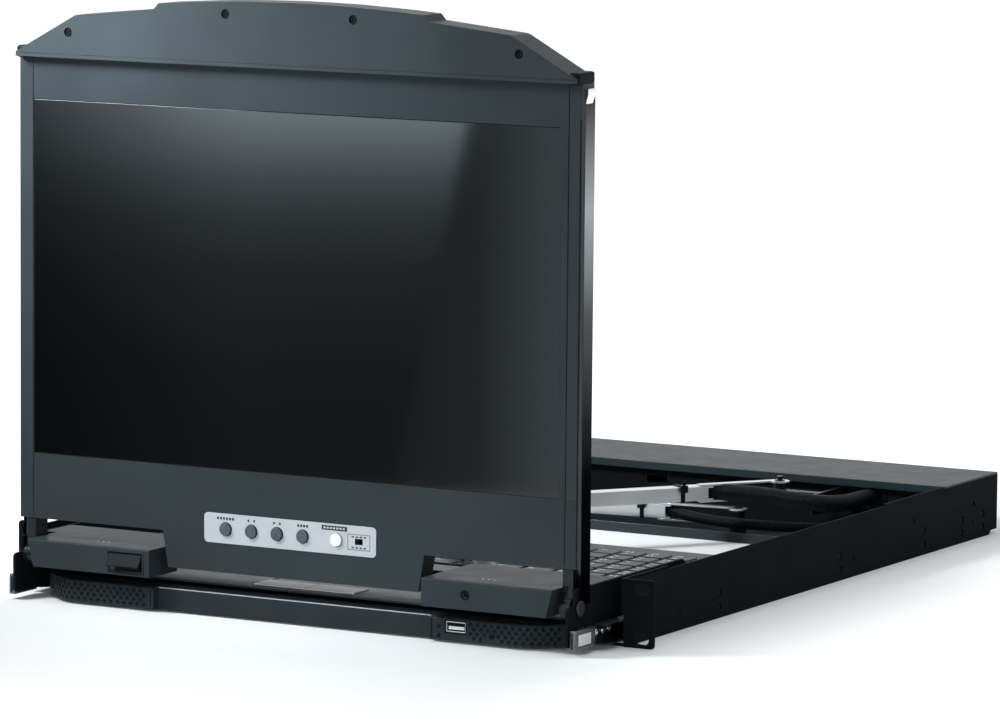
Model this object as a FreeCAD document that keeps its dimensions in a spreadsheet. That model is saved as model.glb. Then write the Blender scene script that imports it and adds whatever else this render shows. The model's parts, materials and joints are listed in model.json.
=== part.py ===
import FreeCAD, Part
import os
import re
import Sketcher

# Rackmount LCD console drawer, one rack unit high.
# X runs across the rack, Y into it and Z up. The origin is the centre of the four rack-ear slots,
# on the front face of the ears. Heights below are measured from the chassis floor, and floor_z
# carries them to the origin.

doc = FreeCAD.newDocument("console_drawer")
sizes = doc.addObject("Spreadsheet::Sheet", "sizes")

DRIVING_SIZES = {
    # rack fit
    "ear_width": 482.6,
    "ear_height": 44.0,
    "ear_thickness": 2.0,
    "ear_slot_span": 465.1,
    "ear_slot_rise": 31.75,
    "ear_slot_length": 10.5,
    "ear_slot_width": 7.5,
    # chassis
    "body_width": 442.0,
    "chassis_depth": 570.0,
    "skin": 1.5,
    "wall_height": 42.5,
    "flange_width": 26.0,
    "pan_length": 145.0,
    "cover_length": 90.0,
    "bulkhead_setback": 8.0,
    "lip_height": 7.0,
    "cover_strip_length": 98.0,
    # display slide rails, fixed half on the wall and moving half on the side plate
    "lcd_rail_height": 16.5,
    "lcd_rail_width": 5.5,
    "lcd_rail_length": 478.0,
    "rail_sheet": 1.2,
    "rail_play": 0.3,
    "lcd_runner_length": 150.0,
    # display carriage
    "side_plate_gap": 10.5,
    "side_plate_sheet": 2.0,
    "side_plate_length": 165.0,
    "side_plate_step": 46.0,
    "side_plate_base": 5.6,
    "side_plate_nose": 31.5,
    "carriage_front": 55.0,
    "carriage_top": 42.1,
    "pod_inner": 102.5,
    "pod_outer": 197.5,
    "pod_height": 18.3,
    "pod_depth": 35.0,
    "pod_slant": 4.5,
    "beam_depth": 22.0,
    "beam_height": 13.5,
    # display
    "hinge_setback": 40.0,
    "hinge_height": 29.3,
    "lcd_thickness": 17.0,
    "lcd_front": 44.3,
    "lcd_base": 54.6,
    "tongue_width": 197.0,
    "tongue_taper": 4.0,
    "tongue_base": 30.4,
    "bracket_width": 7.5,
    "bracket_knuckle": 8.0,
    "hinge_pin_radius": 3.0,
    "bezel_depth": 2.5,
    "glass_width": 398.0,
    "glass_height": 234.0,
    "glass_base": 98.5,
    "glass_thickness": 1.6,
    "bezel_side": 11.0,
    "bezel_head": 28.1,
    "shell_wall": 1.6,
    "handle_depth": 24.0,
    "handle_inset": 1.0,
    "handle_slope": 47.0,
    "handle_shoulder_rise": 29.0,
    "handle_step": 102.0,
    "handle_step_rise": 35.0,
    "handle_crown_rise": 43.0,
    "button_pitch": 19.4,
    "button_radius": 4.2,
    "button_row_height": 59.2,
    "button_travel": 0.8,
    # keyboard drawer
    "tray_width": 380.0,
    "tray_base": 3.0,
    "deck_height": 20.0,
    "deck_rear": 254.0,
    "deck_front": 27.0,
    "bezel_front": 47.0,
    "bezel_base": 2.0,
    "bezel_top": 16.3,
    "bezel_width": 392.0,
    "key_pitch": 19.0,
    "key_height": 3.2,
    "key_travel": 1.5,
    "keyboard_rail_length": 270.0,
    # cable arms
    "lcd_arm_link": 252.0,
    "lcd_arm_floor": 31.1,
    "lcd_arm_reach": 36.5,
    "lcd_arm_setback": 124.0,
    "key_arm_rear_link": 255.0,
    "key_arm_front_link": 233.3,
    "key_arm_floor": 7.6,
    "key_arm_reach": 54.0,
    "key_arm_setback": 118.0,
    "arm_sheet": 1.2,
    "arm_channel_width": 12.0,
    "arm_channel_height": 10.0,
    "arm_pivot_radius": 2.0,
    "upper_sleeve_height": 32.0,
    "upper_sleeve_radius": 5.0,
    "upper_sleeve_straight": 40.0,
    "lower_sleeve_height": 12.0,
    "lower_sleeve_radius": 4.0,
    "lower_sleeve_straight": 18.0,
    "sleeve_inside": 10.0,
}

for row, (alias, number) in enumerate(DRIVING_SIZES.items(), start=1):
    sizes.set(f"A{row}", alias)
    sizes.set(f"B{row}", str(number))
    sizes.setAlias(f"B{row}", alias)
doc.recompute()

FLOOR = "- ear_height / 2"
SIDES = {"left": -1, "right": 1}
PLANE_ROLES = {"XY": "XY_Plane", "XZ": "XZ_Plane", "YZ": "YZ_Plane"}
nodes = []


# ---- helpers -------------------------------------------------------------------------------------

def value(alias):
    return float(sizes.get(alias))


def bound(text):
    """Turn plain size names into references to the sheet's cells."""
    return re.sub(r"\b([a-z][a-z0-9_]*)\b(?!\()", r"sizes.\1", text)


def bind(item, prop, text):
    item.setExpression(prop, bound(text))


def span(sign, near, far):
    """A range of X given on the right-hand side, mirrored for the left."""
    return (near, far) if sign > 0 else (f"-({far})", f"-({near})")


def signed(sign, text):
    return text if sign > 0 else f"-({text})"


def node(item, label):
    """Name a finished sub-part; its label names its file."""
    item.Label = label
    nodes.append(item)
    return item


def block(xs, ys, zs):
    """A box between two X, two Y and two Z values, the heights measured from the chassis floor."""
    box = doc.addObject("Part::Box", "Block")
    for prop, (low, high) in zip(("Length", "Width", "Height"), (xs, ys, zs)):
        bind(box, prop, f"({high}) - ({low})")
    bind(box, "Placement.Base.x", xs[0])
    bind(box, "Placement.Base.y", ys[0])
    bind(box, "Placement.Base.z", f"{zs[0]} {FLOOR}")
    return box


AXIS_TURNS = {
    "x": FreeCAD.Rotation(FreeCAD.Vector(0, 1, 0), 90),
    "y": FreeCAD.Rotation(FreeCAD.Vector(1, 0, 0), -90),
    "z": FreeCAD.Rotation(),
}


def rod(axis, start, length, radius):
    """A cylinder from a start point along +X, +Y or +Z."""
    cylinder = doc.addObject("Part::Cylinder", "Rod")
    cylinder.Placement.Rotation = AXIS_TURNS[axis]
    bind(cylinder, "Height", length)
    bind(cylinder, "Radius", radius)
    bind(cylinder, "Placement.Base.x", start[0])
    bind(cylinder, "Placement.Base.y", start[1])
    bind(cylinder, "Placement.Base.z", f"{start[2]} {FLOOR}")
    return cylinder


def join(parts):
    fuse = doc.addObject("Part::MultiFuse", "Joined")
    fuse.Shapes = parts
    fuse.Refine = True
    return fuse


def group(parts):
    compound = doc.addObject("Part::Compound", "Group")
    compound.Links = parts
    return compound


def cut(base, tools):
    result = doc.addObject("Part::Cut", "Cutout")
    result.Base = base
    result.Tool = tools[0] if len(tools) == 1 else join(tools)
    result.Refine = True
    return result


def new_body():
    body = doc.addObject("PartDesign::Body", "Body")
    bind(body, "Placement.Base.z", f"0 {FLOOR}")
    return body


def new_sketch(body, plane, offset, outlines=(), circles=()):
    """Closed outlines and circles on an origin plane of the body, every corner tied to the sheet."""
    drawing = body.newObject("Sketcher::SketchObject", "Sketch")
    roles = {feature.Role: feature for feature in body.Origin.OriginFeatures}
    drawing.AttachmentSupport = [(roles[PLANE_ROLES[plane]], "")]
    drawing.MapMode = "FlatFace"
    bind(drawing, "AttachmentOffset.Base.z", offset)
    for corners in outlines:
        first = drawing.GeometryCount
        count = len(corners)
        turns = [FreeCAD.Rotation(FreeCAD.Vector(0, 0, 1), 360 * i / count) for i in range(count)]
        ring = [turn.multVec(FreeCAD.Vector(100, 0, 0)) for turn in turns]
        for i in range(count):
            drawing.addGeometry(Part.LineSegment(ring[i], ring[(i + 1) % count]))
        for i in range(count):
            following = first + (i + 1) % count
            drawing.addConstraint(Sketcher.Constraint("Coincident", first + i, 2, following, 1))
        for i, (across, up) in enumerate(corners):
            tie(drawing, Sketcher.Constraint("DistanceX", -1, 1, first + i, 1, ring[i].x), across)
            tie(drawing, Sketcher.Constraint("DistanceY", -1, 1, first + i, 1, ring[i].y), up)
    for across, up, radius in circles:
        centre = FreeCAD.Vector(10, 10, 0)
        circle = drawing.addGeometry(Part.Circle(centre, FreeCAD.Vector(0, 0, 1), 5))
        tie(drawing, Sketcher.Constraint("DistanceX", -1, 1, circle, 3, 10), across)
        tie(drawing, Sketcher.Constraint("DistanceY", -1, 1, circle, 3, 10), up)
        tie(drawing, Sketcher.Constraint("Radius", circle, 5), radius)
    return drawing


def tie(drawing, constraint, text):
    index = drawing.addConstraint(constraint)
    bind(drawing, f"Constraints[{index}]", text)


def pad(body, plane, low, high, outline=None, circles=()):
    """Add material between two positions on the axis across the plane."""
    offset = f"-({high})" if plane == "XZ" else low
    feature = body.newObject("PartDesign::Pad", "Pad")
    feature.Profile = new_sketch(body, plane, offset, [outline] if outline else [], circles)
    bind(feature, "Length", f"({high}) - ({low})")
    return feature


def pocket(body, plane, low, high, outlines=(), circles=()):
    """Cut between two positions on the axis across the plane, and check that it cuts."""
    doc.recompute()
    before = body.Shape.Volume
    offset = f"-({low})" if plane == "XZ" else high
    feature = body.newObject("PartDesign::Pocket", "Pocket")
    feature.Profile = new_sketch(body, plane, offset, outlines, circles)
    bind(feature, "Length", f"({high}) - ({low})")
    doc.recompute()
    if body.Shape.Volume >= before:
        raise RuntimeError("a pocket cuts nothing")
    return feature


def rectangle(xs, ys):
    return [(xs[0], ys[0]), (xs[1], ys[0]), (xs[1], ys[1]), (xs[0], ys[1])]


def round_edges(body, feature, radius, wanted):
    """Fillet the straight edges of a feature that `wanted` picks by their direction and middle."""
    doc.recompute()
    names = []
    for number, edge in enumerate(feature.Shape.Edges, start=1):
        if edge.Curve.TypeId != "Part::GeomLine":
            continue
        if wanted(edge.Curve.Direction, edge.CenterOfMass):
            names.append(f"Edge{number}")
    fillet = body.newObject("PartDesign::Fillet", "Fillet")
    fillet.Base = (feature, names)
    bind(fillet, "Radius", radius)
    doc.recompute()
    return fillet


# ---- chassis -------------------------------------------------------------------------------------

WALL_INNER = "body_width / 2 - skin"
EAR_SLOT_X = "ear_slot_span / 2"


def side_wall(side):
    """Folded wall with a foot flange that carries the keyboard rail."""
    sign = SIDES[side]
    body = new_body()
    outer = signed(sign, "body_width / 2")
    inner = signed(sign, WALL_INNER)
    foot = signed(sign, "body_width / 2 - flange_width")
    section = [(outer, "0"), (outer, "wall_height"), (inner, "wall_height"),
               (inner, "skin"), (foot, "skin"), (foot, "0")]
    wall = pad(body, "XZ", "ear_thickness", "chassis_depth", section)
    strip = rectangle(span(sign, WALL_INNER, "body_width / 2"), ("wall_height", "ear_height"))
    pad(body, "XZ", "chassis_depth - cover_length - cover_strip_length",
        "chassis_depth - cover_length - rail_play", strip)
    xs = span(sign, "body_width / 2 - flange_width - 1", "body_width / 2 + 1")
    corner = [("chassis_depth - 14", "-1"), ("chassis_depth + 1", "-1"), ("chassis_depth + 1", "14")]
    pocket(body, "YZ", xs[0], xs[1], [corner])
    holes = []
    for position in RAIL_SCREW_POSITIONS:
        holes.append((position, RAIL_SCREW_HEIGHT, "2.5"))
    for position in BRACKET_HOLE_POSITIONS:
        holes.append((position, BRACKET_HOLE_HEIGHT, "1.65"))
    xs = span(sign, "body_width / 2 - skin - 1", "body_width / 2 + 1")
    pocket(body, "YZ", xs[0], xs[1], [], holes)
    return node(body, f"side_wall_{side}")


# the screws that hold the slide rail to the wall, and the plain holes for a rear rack bracket
RAIL_SCREW_HEIGHT = "2 + lcd_rail_height / 2"
RAIL_SCREW_POSITIONS = [
    "ear_thickness + 60",
    "ear_thickness + lcd_rail_length * 0.27",
    "ear_thickness + lcd_rail_length * 0.65",
    "ear_thickness + lcd_rail_length * 0.93",
]
BRACKET_HOLE_HEIGHT = "26"
BRACKET_HOLE_POSITIONS = ["chassis_depth - 40", "chassis_depth - 140"]


def rack_ear(side):
    """Front bracket: a slotted ear outside the wall and a leg riveted inside it."""
    sign = SIDES[side]
    body = new_body()
    edge = signed(sign, "ear_width / 2")
    wall = signed(sign, WALL_INNER)
    leg = signed(sign, "body_width / 2 - skin - ear_thickness")
    section = [(edge, "0"), (edge, "ear_thickness"), (wall, "ear_thickness"), (wall, "62"),
               (leg, "62"), (leg, "0")]
    ear = pad(body, "XY", "0", "ear_height", section)
    below_leg = rectangle(span(sign, "body_width / 2 - skin - ear_thickness - 1", WALL_INNER),
                          ("-1", "lcd_rail_height + 4"))
    pocket(body, "XZ", "-1", "63", [below_leg])
    for level in ("-", "+"):
        height = f"ear_height / 2 {level} ear_slot_rise / 2"
        bar = rectangle(
            (signed(sign, f"{EAR_SLOT_X} - ear_slot_length / 2 + ear_slot_width / 2"),
             signed(sign, f"{EAR_SLOT_X} + ear_slot_length / 2 - ear_slot_width / 2")),
            (f"{height} - ear_slot_width / 2", f"{height} + ear_slot_width / 2"))
        pocket(body, "XZ", "-1", "ear_thickness + 1", [bar])
        for end in ("-", "+"):
            centre = f"{EAR_SLOT_X} {end} (ear_slot_length / 2 - ear_slot_width / 2)"
            pocket(body, "XZ", "-1", "ear_thickness + 1", [],
                   [(signed(sign, centre), height, "ear_slot_width / 2")])
    outer_edge = value("ear_width") / 2
    round_edges(body, body.Tip, "2.5", lambda direction, middle:
                abs(direction.y) > 0.9 and abs(abs(middle.x) - outer_edge) < 0.1)
    return node(body, f"rack_ear_{side}")


for side in SIDES:
    side_wall(side)
    rack_ear(side)

PAN_FRONT = "chassis_depth - pan_length"
PAN_HALF = "body_width / 2 - flange_width - rail_play"


def rear_pan():
    """Floor of the rear bay, with a front lip and the back panel with its port cut-outs."""
    body = new_body()
    section = [
        (PAN_FRONT, "0"), (f"{PAN_FRONT}", "lip_height"), (f"{PAN_FRONT} + skin", "lip_height"),
        (f"{PAN_FRONT} + skin", "skin"), ("chassis_depth - skin", "skin"),
        ("chassis_depth - skin", "wall_height - rail_play"),
        ("chassis_depth", "wall_height - rail_play"), ("chassis_depth", "0")]
    pad(body, "YZ", f"-({PAN_HALF})", PAN_HALF, section)
    ports = [rectangle(INLET_X, INLET_Z), rectangle(SWITCH_X, SWITCH_Z), rectangle(PORTS_X, PORTS_Z)]
    pocket(body, "XZ", "chassis_depth - skin - 1", "chassis_depth + 1", ports)
    return node(body, "rear_pan")


# cut-outs of the back panel
INLET_X = ("-180", "-152")
INLET_Z = ("10", "31")
SWITCH_X = ("-142", "-128")
SWITCH_Z = ("10", "31")
PORTS_X = ("60", "150")
PORTS_Z = ("10", "26")
rear_pan()


def rear_cover():
    """Lid of the rear bay, folded down at its front edge."""
    body = new_body()
    front = "chassis_depth - cover_length"
    section = [
        (front, "ear_height"), ("chassis_depth", "ear_height"), ("chassis_depth", "wall_height"),
        (f"{front} + skin", "wall_height"), (f"{front} + skin", "wall_height - 4"),
        (front, "wall_height - 4")]
    lid = pad(body, "YZ", "-body_width / 2 + skin + rail_play", "body_width / 2 - skin - rail_play",
              section)
    wings = [rectangle(span(sign, "body_width / 2 - skin - 1", "body_width / 2"),
                       (f"{front}", "chassis_depth")) for sign in SIDES.values()]
    for wing in wings:
        pad(body, "XY", "wall_height", "ear_height", wing)
    return node(body, "rear_cover")


rear_cover()

BULKHEAD = "chassis_depth - cover_length + bulkhead_setback"
SLEEVE_X = "161"
SLEEVE_FIT = "0.3"


def bulkhead():
    """Front wall of the rear bay, with a lanced tab slot and two cable windows."""
    body = new_body()
    half = "body_width / 2 - flange_width - rail_play"
    wall = pad(body, "XZ", BULKHEAD, f"{BULKHEAD} + skin",
               rectangle((f"-({half})", half), ("skin", "wall_height")))
    windows = [rectangle(("-20", "-4"), ("28", "33"))]
    for height, radius in (("upper_sleeve_height", "upper_sleeve_radius"),
                           ("lower_sleeve_height", "lower_sleeve_radius")):
        reach = f"({radius} + {SLEEVE_FIT})"
        windows.append(rectangle((f"{SLEEVE_X} - 11", f"{SLEEVE_X} + 11"),
                                 (f"{height} - {reach}", f"{height} + {reach}")))
    pocket(body, "XZ", f"{BULKHEAD} - 1", f"{BULKHEAD} + skin + 1", windows)
    return node(body, "bulkhead")


bulkhead()


def channel_rail(sign, web_far, width, base, height, ys, opens_inward):
    """A folded slide member: a web and two lips. `web_far` is the web's face furthest from X = 0."""
    if opens_inward:
        web = span(sign, f"{web_far} - rail_sheet", web_far)
    else:
        web = span(sign, f"{web_far} - ({width})", f"{web_far} - ({width}) + rail_sheet")
    lips = span(sign, f"{web_far} - ({width})", web_far)
    top = f"{base} + {height}"
    return join([
        block(web, ys, (base, top)),
        block(lips, ys, (base, f"{base} + rail_sheet")),
        block(lips, ys, (f"{top} - rail_sheet", top)),
    ])


RAIL_BASE = "2"


def lcd_outer_rail(sign):
    """Fixed channel on the wall, drilled for its screws."""
    ys = ("ear_thickness + rail_play", "ear_thickness + lcd_rail_length")
    rail = channel_rail(sign, WALL_INNER, "lcd_rail_width", RAIL_BASE, "lcd_rail_height", ys, True)
    start = "body_width / 2 - skin - rail_sheet - 1" if sign > 0 else "-body_width / 2"
    holes = [rod("x", (start, position, RAIL_SCREW_HEIGHT), "rail_sheet + skin + 1", "1.6")
             for position in RAIL_SCREW_POSITIONS]
    return cut(rail, holes)


node(group([lcd_outer_rail(sign) for sign in SIDES.values()]), "lcd_outer_rails")


def chassis_screw(sign, position):
    """Pan-head screw sunk in the wall's dimple, its shank in the rail's web."""
    start = "body_width / 2 - skin + 0.2" if sign > 0 else "-body_width / 2 + 0.2"
    head = rod("x", (start, position, RAIL_SCREW_HEIGHT), "skin - 0.4", "2.4")
    start = "body_width / 2 - skin - rail_sheet" if sign > 0 else "-body_width / 2 + 0.3"
    shank = rod("x", (start, position, RAIL_SCREW_HEIGHT), "rail_sheet + skin - 0.3", "1.5")
    return join([head, shank])


node(group([chassis_screw(sign, position) for sign in SIDES.values()
            for position in RAIL_SCREW_POSITIONS]), "rail_screws")

KEYBOARD_RAIL_WEB = "body_width / 2 - skin - 15"
KEYBOARD_RAIL_WIDTH = "10"
KEYBOARD_RAIL_HEIGHT = "14"
KEYBOARD_RAIL_YS = ("ear_thickness + rail_play", "ear_thickness + keyboard_rail_length")


def keyboard_outer_rail(sign):
    return channel_rail(sign, KEYBOARD_RAIL_WEB, KEYBOARD_RAIL_WIDTH, "skin", KEYBOARD_RAIL_HEIGHT,
                        KEYBOARD_RAIL_YS, True)


node(group([keyboard_outer_rail(sign) for sign in SIDES.values()]), "keyboard_outer_rails")

# ---- display carriage ----------------------------------------------------------------------------

PLATE_OUTER = "body_width / 2 - skin - side_plate_gap"
PLATE_INNER = f"{PLATE_OUTER} - side_plate_sheet"
HINGE = ("-hinge_setback", "hinge_height")
PIN_FIT = "0.06"


def side_plate(side):
    """Upright plate with a low nose, drilled for the hinge pin."""
    sign = SIDES[side]
    body = new_body()
    rear = "side_plate_length - carriage_front"
    outline = [
        ("-carriage_front", "side_plate_base"), (rear, "side_plate_base"),
        (rear, "carriage_top - 8"), (f"{rear} - 8", "carriage_top"),
        ("-side_plate_step", "carriage_top"), ("-side_plate_step", "side_plate_nose"),
        ("-carriage_front", "side_plate_nose")]
    xs = span(sign, PLATE_INNER, PLATE_OUTER)
    plate = pad(body, "YZ", xs[0], xs[1], outline)
    front = -value("carriage_front")
    round_edges(body, plate, "3", lambda direction, middle:
                abs(direction.x) > 0.9 and abs(middle.y - front) < 0.1)
    xs = span(sign, f"{PLATE_INNER} - 1", f"{PLATE_OUTER} + 1")
    pocket(body, "YZ", xs[0], xs[1], [], [(*HINGE, f"hinge_pin_radius + {PIN_FIT}")])
    return node(body, f"side_plate_{side}")


POD_BASE = "carriage_top - pod_height"
POD_SHEET = "1.4"
WING_REAR = "12"
FLAP_X = ("pod_inner + 5.5", "pod_inner + 31.5")
FLAP_Z = ("pod_height - 16.6", "pod_height - 3")


def hinge_pod(side):
    """Folded pod in front of the hinge with a wing that runs back over the beam."""
    sign = SIDES[side]
    body = new_body()
    inner = signed(sign, "pod_inner")
    outline = [(inner, POD_BASE), (inner, "carriage_top"), (signed(sign, "pod_outer"), "carriage_top"),
               (signed(sign, "pod_outer - pod_slant"), POD_BASE)]
    box = pad(body, "XZ", "-carriage_front", "-carriage_front + pod_depth", outline)
    front = -value("carriage_front")
    top = value("carriage_top")
    box = round_edges(body, box, "1.2", lambda direction, middle:
                      abs(direction.x) > 0.9 and abs(middle.y - front) < 0.1
                      and abs(middle.z - top) < 0.1)
    wing = rectangle(span(sign, "pod_inner", PLATE_INNER),
                     ("-carriage_front + pod_depth - 1", WING_REAR))
    pad(body, "XY", f"carriage_top - {POD_SHEET}", "carriage_top", wing)
    hollow = [
        (signed(sign, f"pod_inner + {POD_SHEET}"), f"{POD_BASE} - 1"),
        (signed(sign, f"pod_inner + {POD_SHEET}"), f"carriage_top - {POD_SHEET}"),
        (signed(sign, f"pod_outer - {POD_SHEET}"), f"carriage_top - {POD_SHEET}"),
        (signed(sign, f"pod_outer - pod_slant - {POD_SHEET}"), f"{POD_BASE} - 1")]
    pocket(body, "XZ", f"-carriage_front + {POD_SHEET}", "-carriage_front + pod_depth + 1", [hollow])
    face = ("-carriage_front - 1", f"-carriage_front + {POD_SHEET} + 1")
    if side == "left":
        window = rectangle(span(sign, *FLAP_X), [f"{POD_BASE} + {height}" for height in FLAP_Z])
        pocket(body, "XZ", *face, [window])
    else:
        pocket(body, "XZ", *face, [], [("pod_inner + 32", f"{POD_BASE} + pod_height / 2 + 0.6", "2.2")])
    return node(body, f"hinge_pod_{side}")


def pod_flap():
    """Sprung flap that hangs half open in the left pod's window."""
    body = new_body()
    top = f"{POD_BASE} + {FLAP_Z[1]} - 0.4"
    face = "-carriage_front"
    outline = [(f"{face} + 2.2", top), (f"{face} + 0.6", top), (f"{face} - 4.6", f"{top} - 8.2"),
               (f"{face} - 3.6", f"{top} - 9"), (f"{face} + 2.2", f"{top} - 1.8")]
    pad(body, "YZ", f"-({FLAP_X[1]} - 0.4)", f"-({FLAP_X[0]} + 0.4)", outline)
    return node(body, "pod_flap")


BEAM_FRONT = "-17.5"
BEAM_TOP = f"carriage_top - {POD_SHEET}"
ARM_PIVOT_X = "108"


def carriage_beam():
    """Folded cross beam between the side plates, with the tab that takes the cable arm."""
    body = new_body()
    rear = f"{BEAM_FRONT} + beam_depth"
    base = f"{BEAM_TOP} - beam_height"
    section = [
        (BEAM_FRONT, base), (BEAM_FRONT, BEAM_TOP), (rear, BEAM_TOP), (rear, base),
        (f"{rear} - skin", base), (f"{rear} - skin", f"{BEAM_TOP} - skin"),
        (f"{BEAM_FRONT} + skin", f"{BEAM_TOP} - skin"), (f"{BEAM_FRONT} + skin", base)]
    pad(body, "YZ", f"-({PLATE_INNER})", PLATE_INNER, section)
    tab = rectangle((f"{ARM_PIVOT_X} - 10", f"{ARM_PIVOT_X} + 10"),
                    (f"{rear} - skin", f"{rear} + lcd_arm_reach + 9"))
    pad(body, "XY", "lcd_arm_floor - rail_play - skin", "lcd_arm_floor - rail_play", tab)
    return node(body, "carriage_beam")


RUNNER_WIDTH = "side_plate_gap - rail_sheet - rail_play"
RUNNER_BASE = f"{RAIL_BASE} + rail_sheet + rail_play"
RUNNER_HEIGHT = "lcd_rail_height - 2 * rail_sheet - 2 * rail_play"
END_BLOCK_YS = ("-carriage_front + 2", "-carriage_front + 35")


def lcd_runner(sign):
    """Moving channel on the side plate, nested in the wall's rail."""
    ys = (END_BLOCK_YS[1], f"{END_BLOCK_YS[1]} + lcd_runner_length - 20")
    return channel_rail(sign, f"{PLATE_OUTER} + {RUNNER_WIDTH}", RUNNER_WIDTH, RUNNER_BASE,
                        RUNNER_HEIGHT, ys, False)


TAB_YS = ("-carriage_front + 12", "-carriage_front + 29")
TAB_ZS = (f"{RUNNER_BASE} + 2.6", f"{RUNNER_BASE} + 10.6")


def rail_end_block(sign):
    """Bright end block of the slide, with the pocket of its release tab."""
    outer = f"{PLATE_OUTER} + {RUNNER_WIDTH}"
    base = block(span(sign, PLATE_OUTER, outer), END_BLOCK_YS,
                 (RUNNER_BASE, f"{RUNNER_BASE} + {RUNNER_HEIGHT}"))
    recess = block(span(sign, f"{outer} - 4", f"{outer} + 1"), TAB_YS, TAB_ZS)
    groove = block(span(sign, f"{outer} - 1.2", f"{outer} + 1"),
                   (f"{END_BLOCK_YS[0]} + 4", f"{END_BLOCK_YS[0]} + 6"), ("0", "30"))
    return cut(base, [recess, groove])


def release_tab(side):
    """Push tab in the end block that frees the slide's stop."""
    sign = SIDES[side]
    outer = f"{PLATE_OUTER} + {RUNNER_WIDTH}"
    ys = (f"{TAB_YS[0]} + 0.3", f"{TAB_YS[1]} - 0.3")
    zs = (f"{TAB_ZS[0]} + 0.3", f"{TAB_ZS[1]} - 0.3")
    return node(block(span(sign, f"{outer} - 2", outer), ys, zs), f"release_tab_{side}")


def hinge_pin(sign):
    """Headed pin that crosses the side plate and the display bracket."""
    start = f"{PLATE_OUTER} - 11" if sign > 0 else f"-({PLATE_OUTER})"
    shank = rod("x", (start, *HINGE), "11", "hinge_pin_radius")
    start = PLATE_OUTER if sign > 0 else f"-({PLATE_OUTER}) - 1.6"
    head = rod("x", (start, *HINGE), "1.6", "hinge_pin_radius + 2")
    return join([shank, head])


for side in SIDES:
    side_plate(side)
    hinge_pod(side)
    release_tab(side)
pod_flap()
carriage_beam()
node(group([lcd_runner(sign) for sign in SIDES.values()]), "lcd_runners")
node(group([rail_end_block(sign) for sign in SIDES.values()]), "rail_end_blocks")
node(group([hinge_pin(sign) for sign in SIDES.values()]), "hinge_pins")

# ---- display -------------------------------------------------------------------------------------

LCD_FRONT = "-lcd_front"
LCD_BACK = "lcd_thickness - lcd_front"
LCD_HALF = "(glass_width / 2 + bezel_side)"
LCD_TOP = "(glass_base + glass_height + bezel_head)"
HANDLE_HALF = f"({LCD_HALF} - handle_inset)"
HANDLE_SHOULDER = f"({HANDLE_HALF} - handle_slope)"
BUTTON_CENTRES = [f"button_pitch * {step}" for step in ("-2.57", "-1.57", "-0.57", "0.43", "1.74")]
BUTTON_NAMES = ["menu_button", "minus_button", "plus_button", "select_button", "power_button"]
BUTTON_REST = "1.2"
SWITCH_CENTRE = "button_pitch * 2.6"
SWITCH_WINDOW = ("2.6", "1.7")


def display_outline(inset):
    """Front view of the display: a wide panel with a tongue that drops between the pods."""
    half = f"{LCD_HALF} - {inset}"
    neck = f"tongue_width / 2 - {inset}"
    tip = f"tongue_width / 2 - tongue_taper - {inset}"
    base = f"lcd_base + {inset}"
    foot = f"tongue_base + {inset}"
    right = [(tip, foot), (neck, base), (half, base), (half, f"{LCD_TOP} - {inset}")]
    left = [(f"-({x})", height) for x, height in reversed(right)]
    return right + left


def lcd_bezel():
    body = new_body()
    pad(body, "XZ", LCD_FRONT, f"{LCD_FRONT} + bezel_depth", display_outline("0"))
    fit = "rail_play"
    half = f"glass_width / 2 + {fit}"
    opening = rectangle((f"-({half})", half),
                        (f"glass_base - {fit}", f"glass_base + glass_height + {fit}"))
    window = rectangle((f"{SWITCH_CENTRE} - {SWITCH_WINDOW[0]}", f"{SWITCH_CENTRE} + {SWITCH_WINDOW[0]}"),
                       (f"button_row_height - {SWITCH_WINDOW[1]}",
                        f"button_row_height + {SWITCH_WINDOW[1]}"))
    holes = [(centre, "button_row_height", "button_radius + rail_play") for centre in BUTTON_CENTRES]
    pocket(body, "XZ", f"{LCD_FRONT} - 1", f"{LCD_FRONT} + bezel_depth + 1", [opening, window], holes)
    return node(body, "lcd_bezel")


def lcd_back_shell():
    body = new_body()
    shell = pad(body, "XZ", f"{LCD_FRONT} + bezel_depth", LCD_BACK, display_outline("0"))
    back = value("lcd_thickness") - value("lcd_front")
    round_edges(body, shell, "2.5", lambda direction, middle:
                abs(direction.y) < 0.1 and abs(middle.y - back) < 0.1)
    pocket(body, "XZ", f"{LCD_FRONT} + bezel_depth - 1", f"{LCD_BACK} - shell_wall",
           [display_outline("shell_wall")])
    return node(body, "lcd_back_shell")


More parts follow.
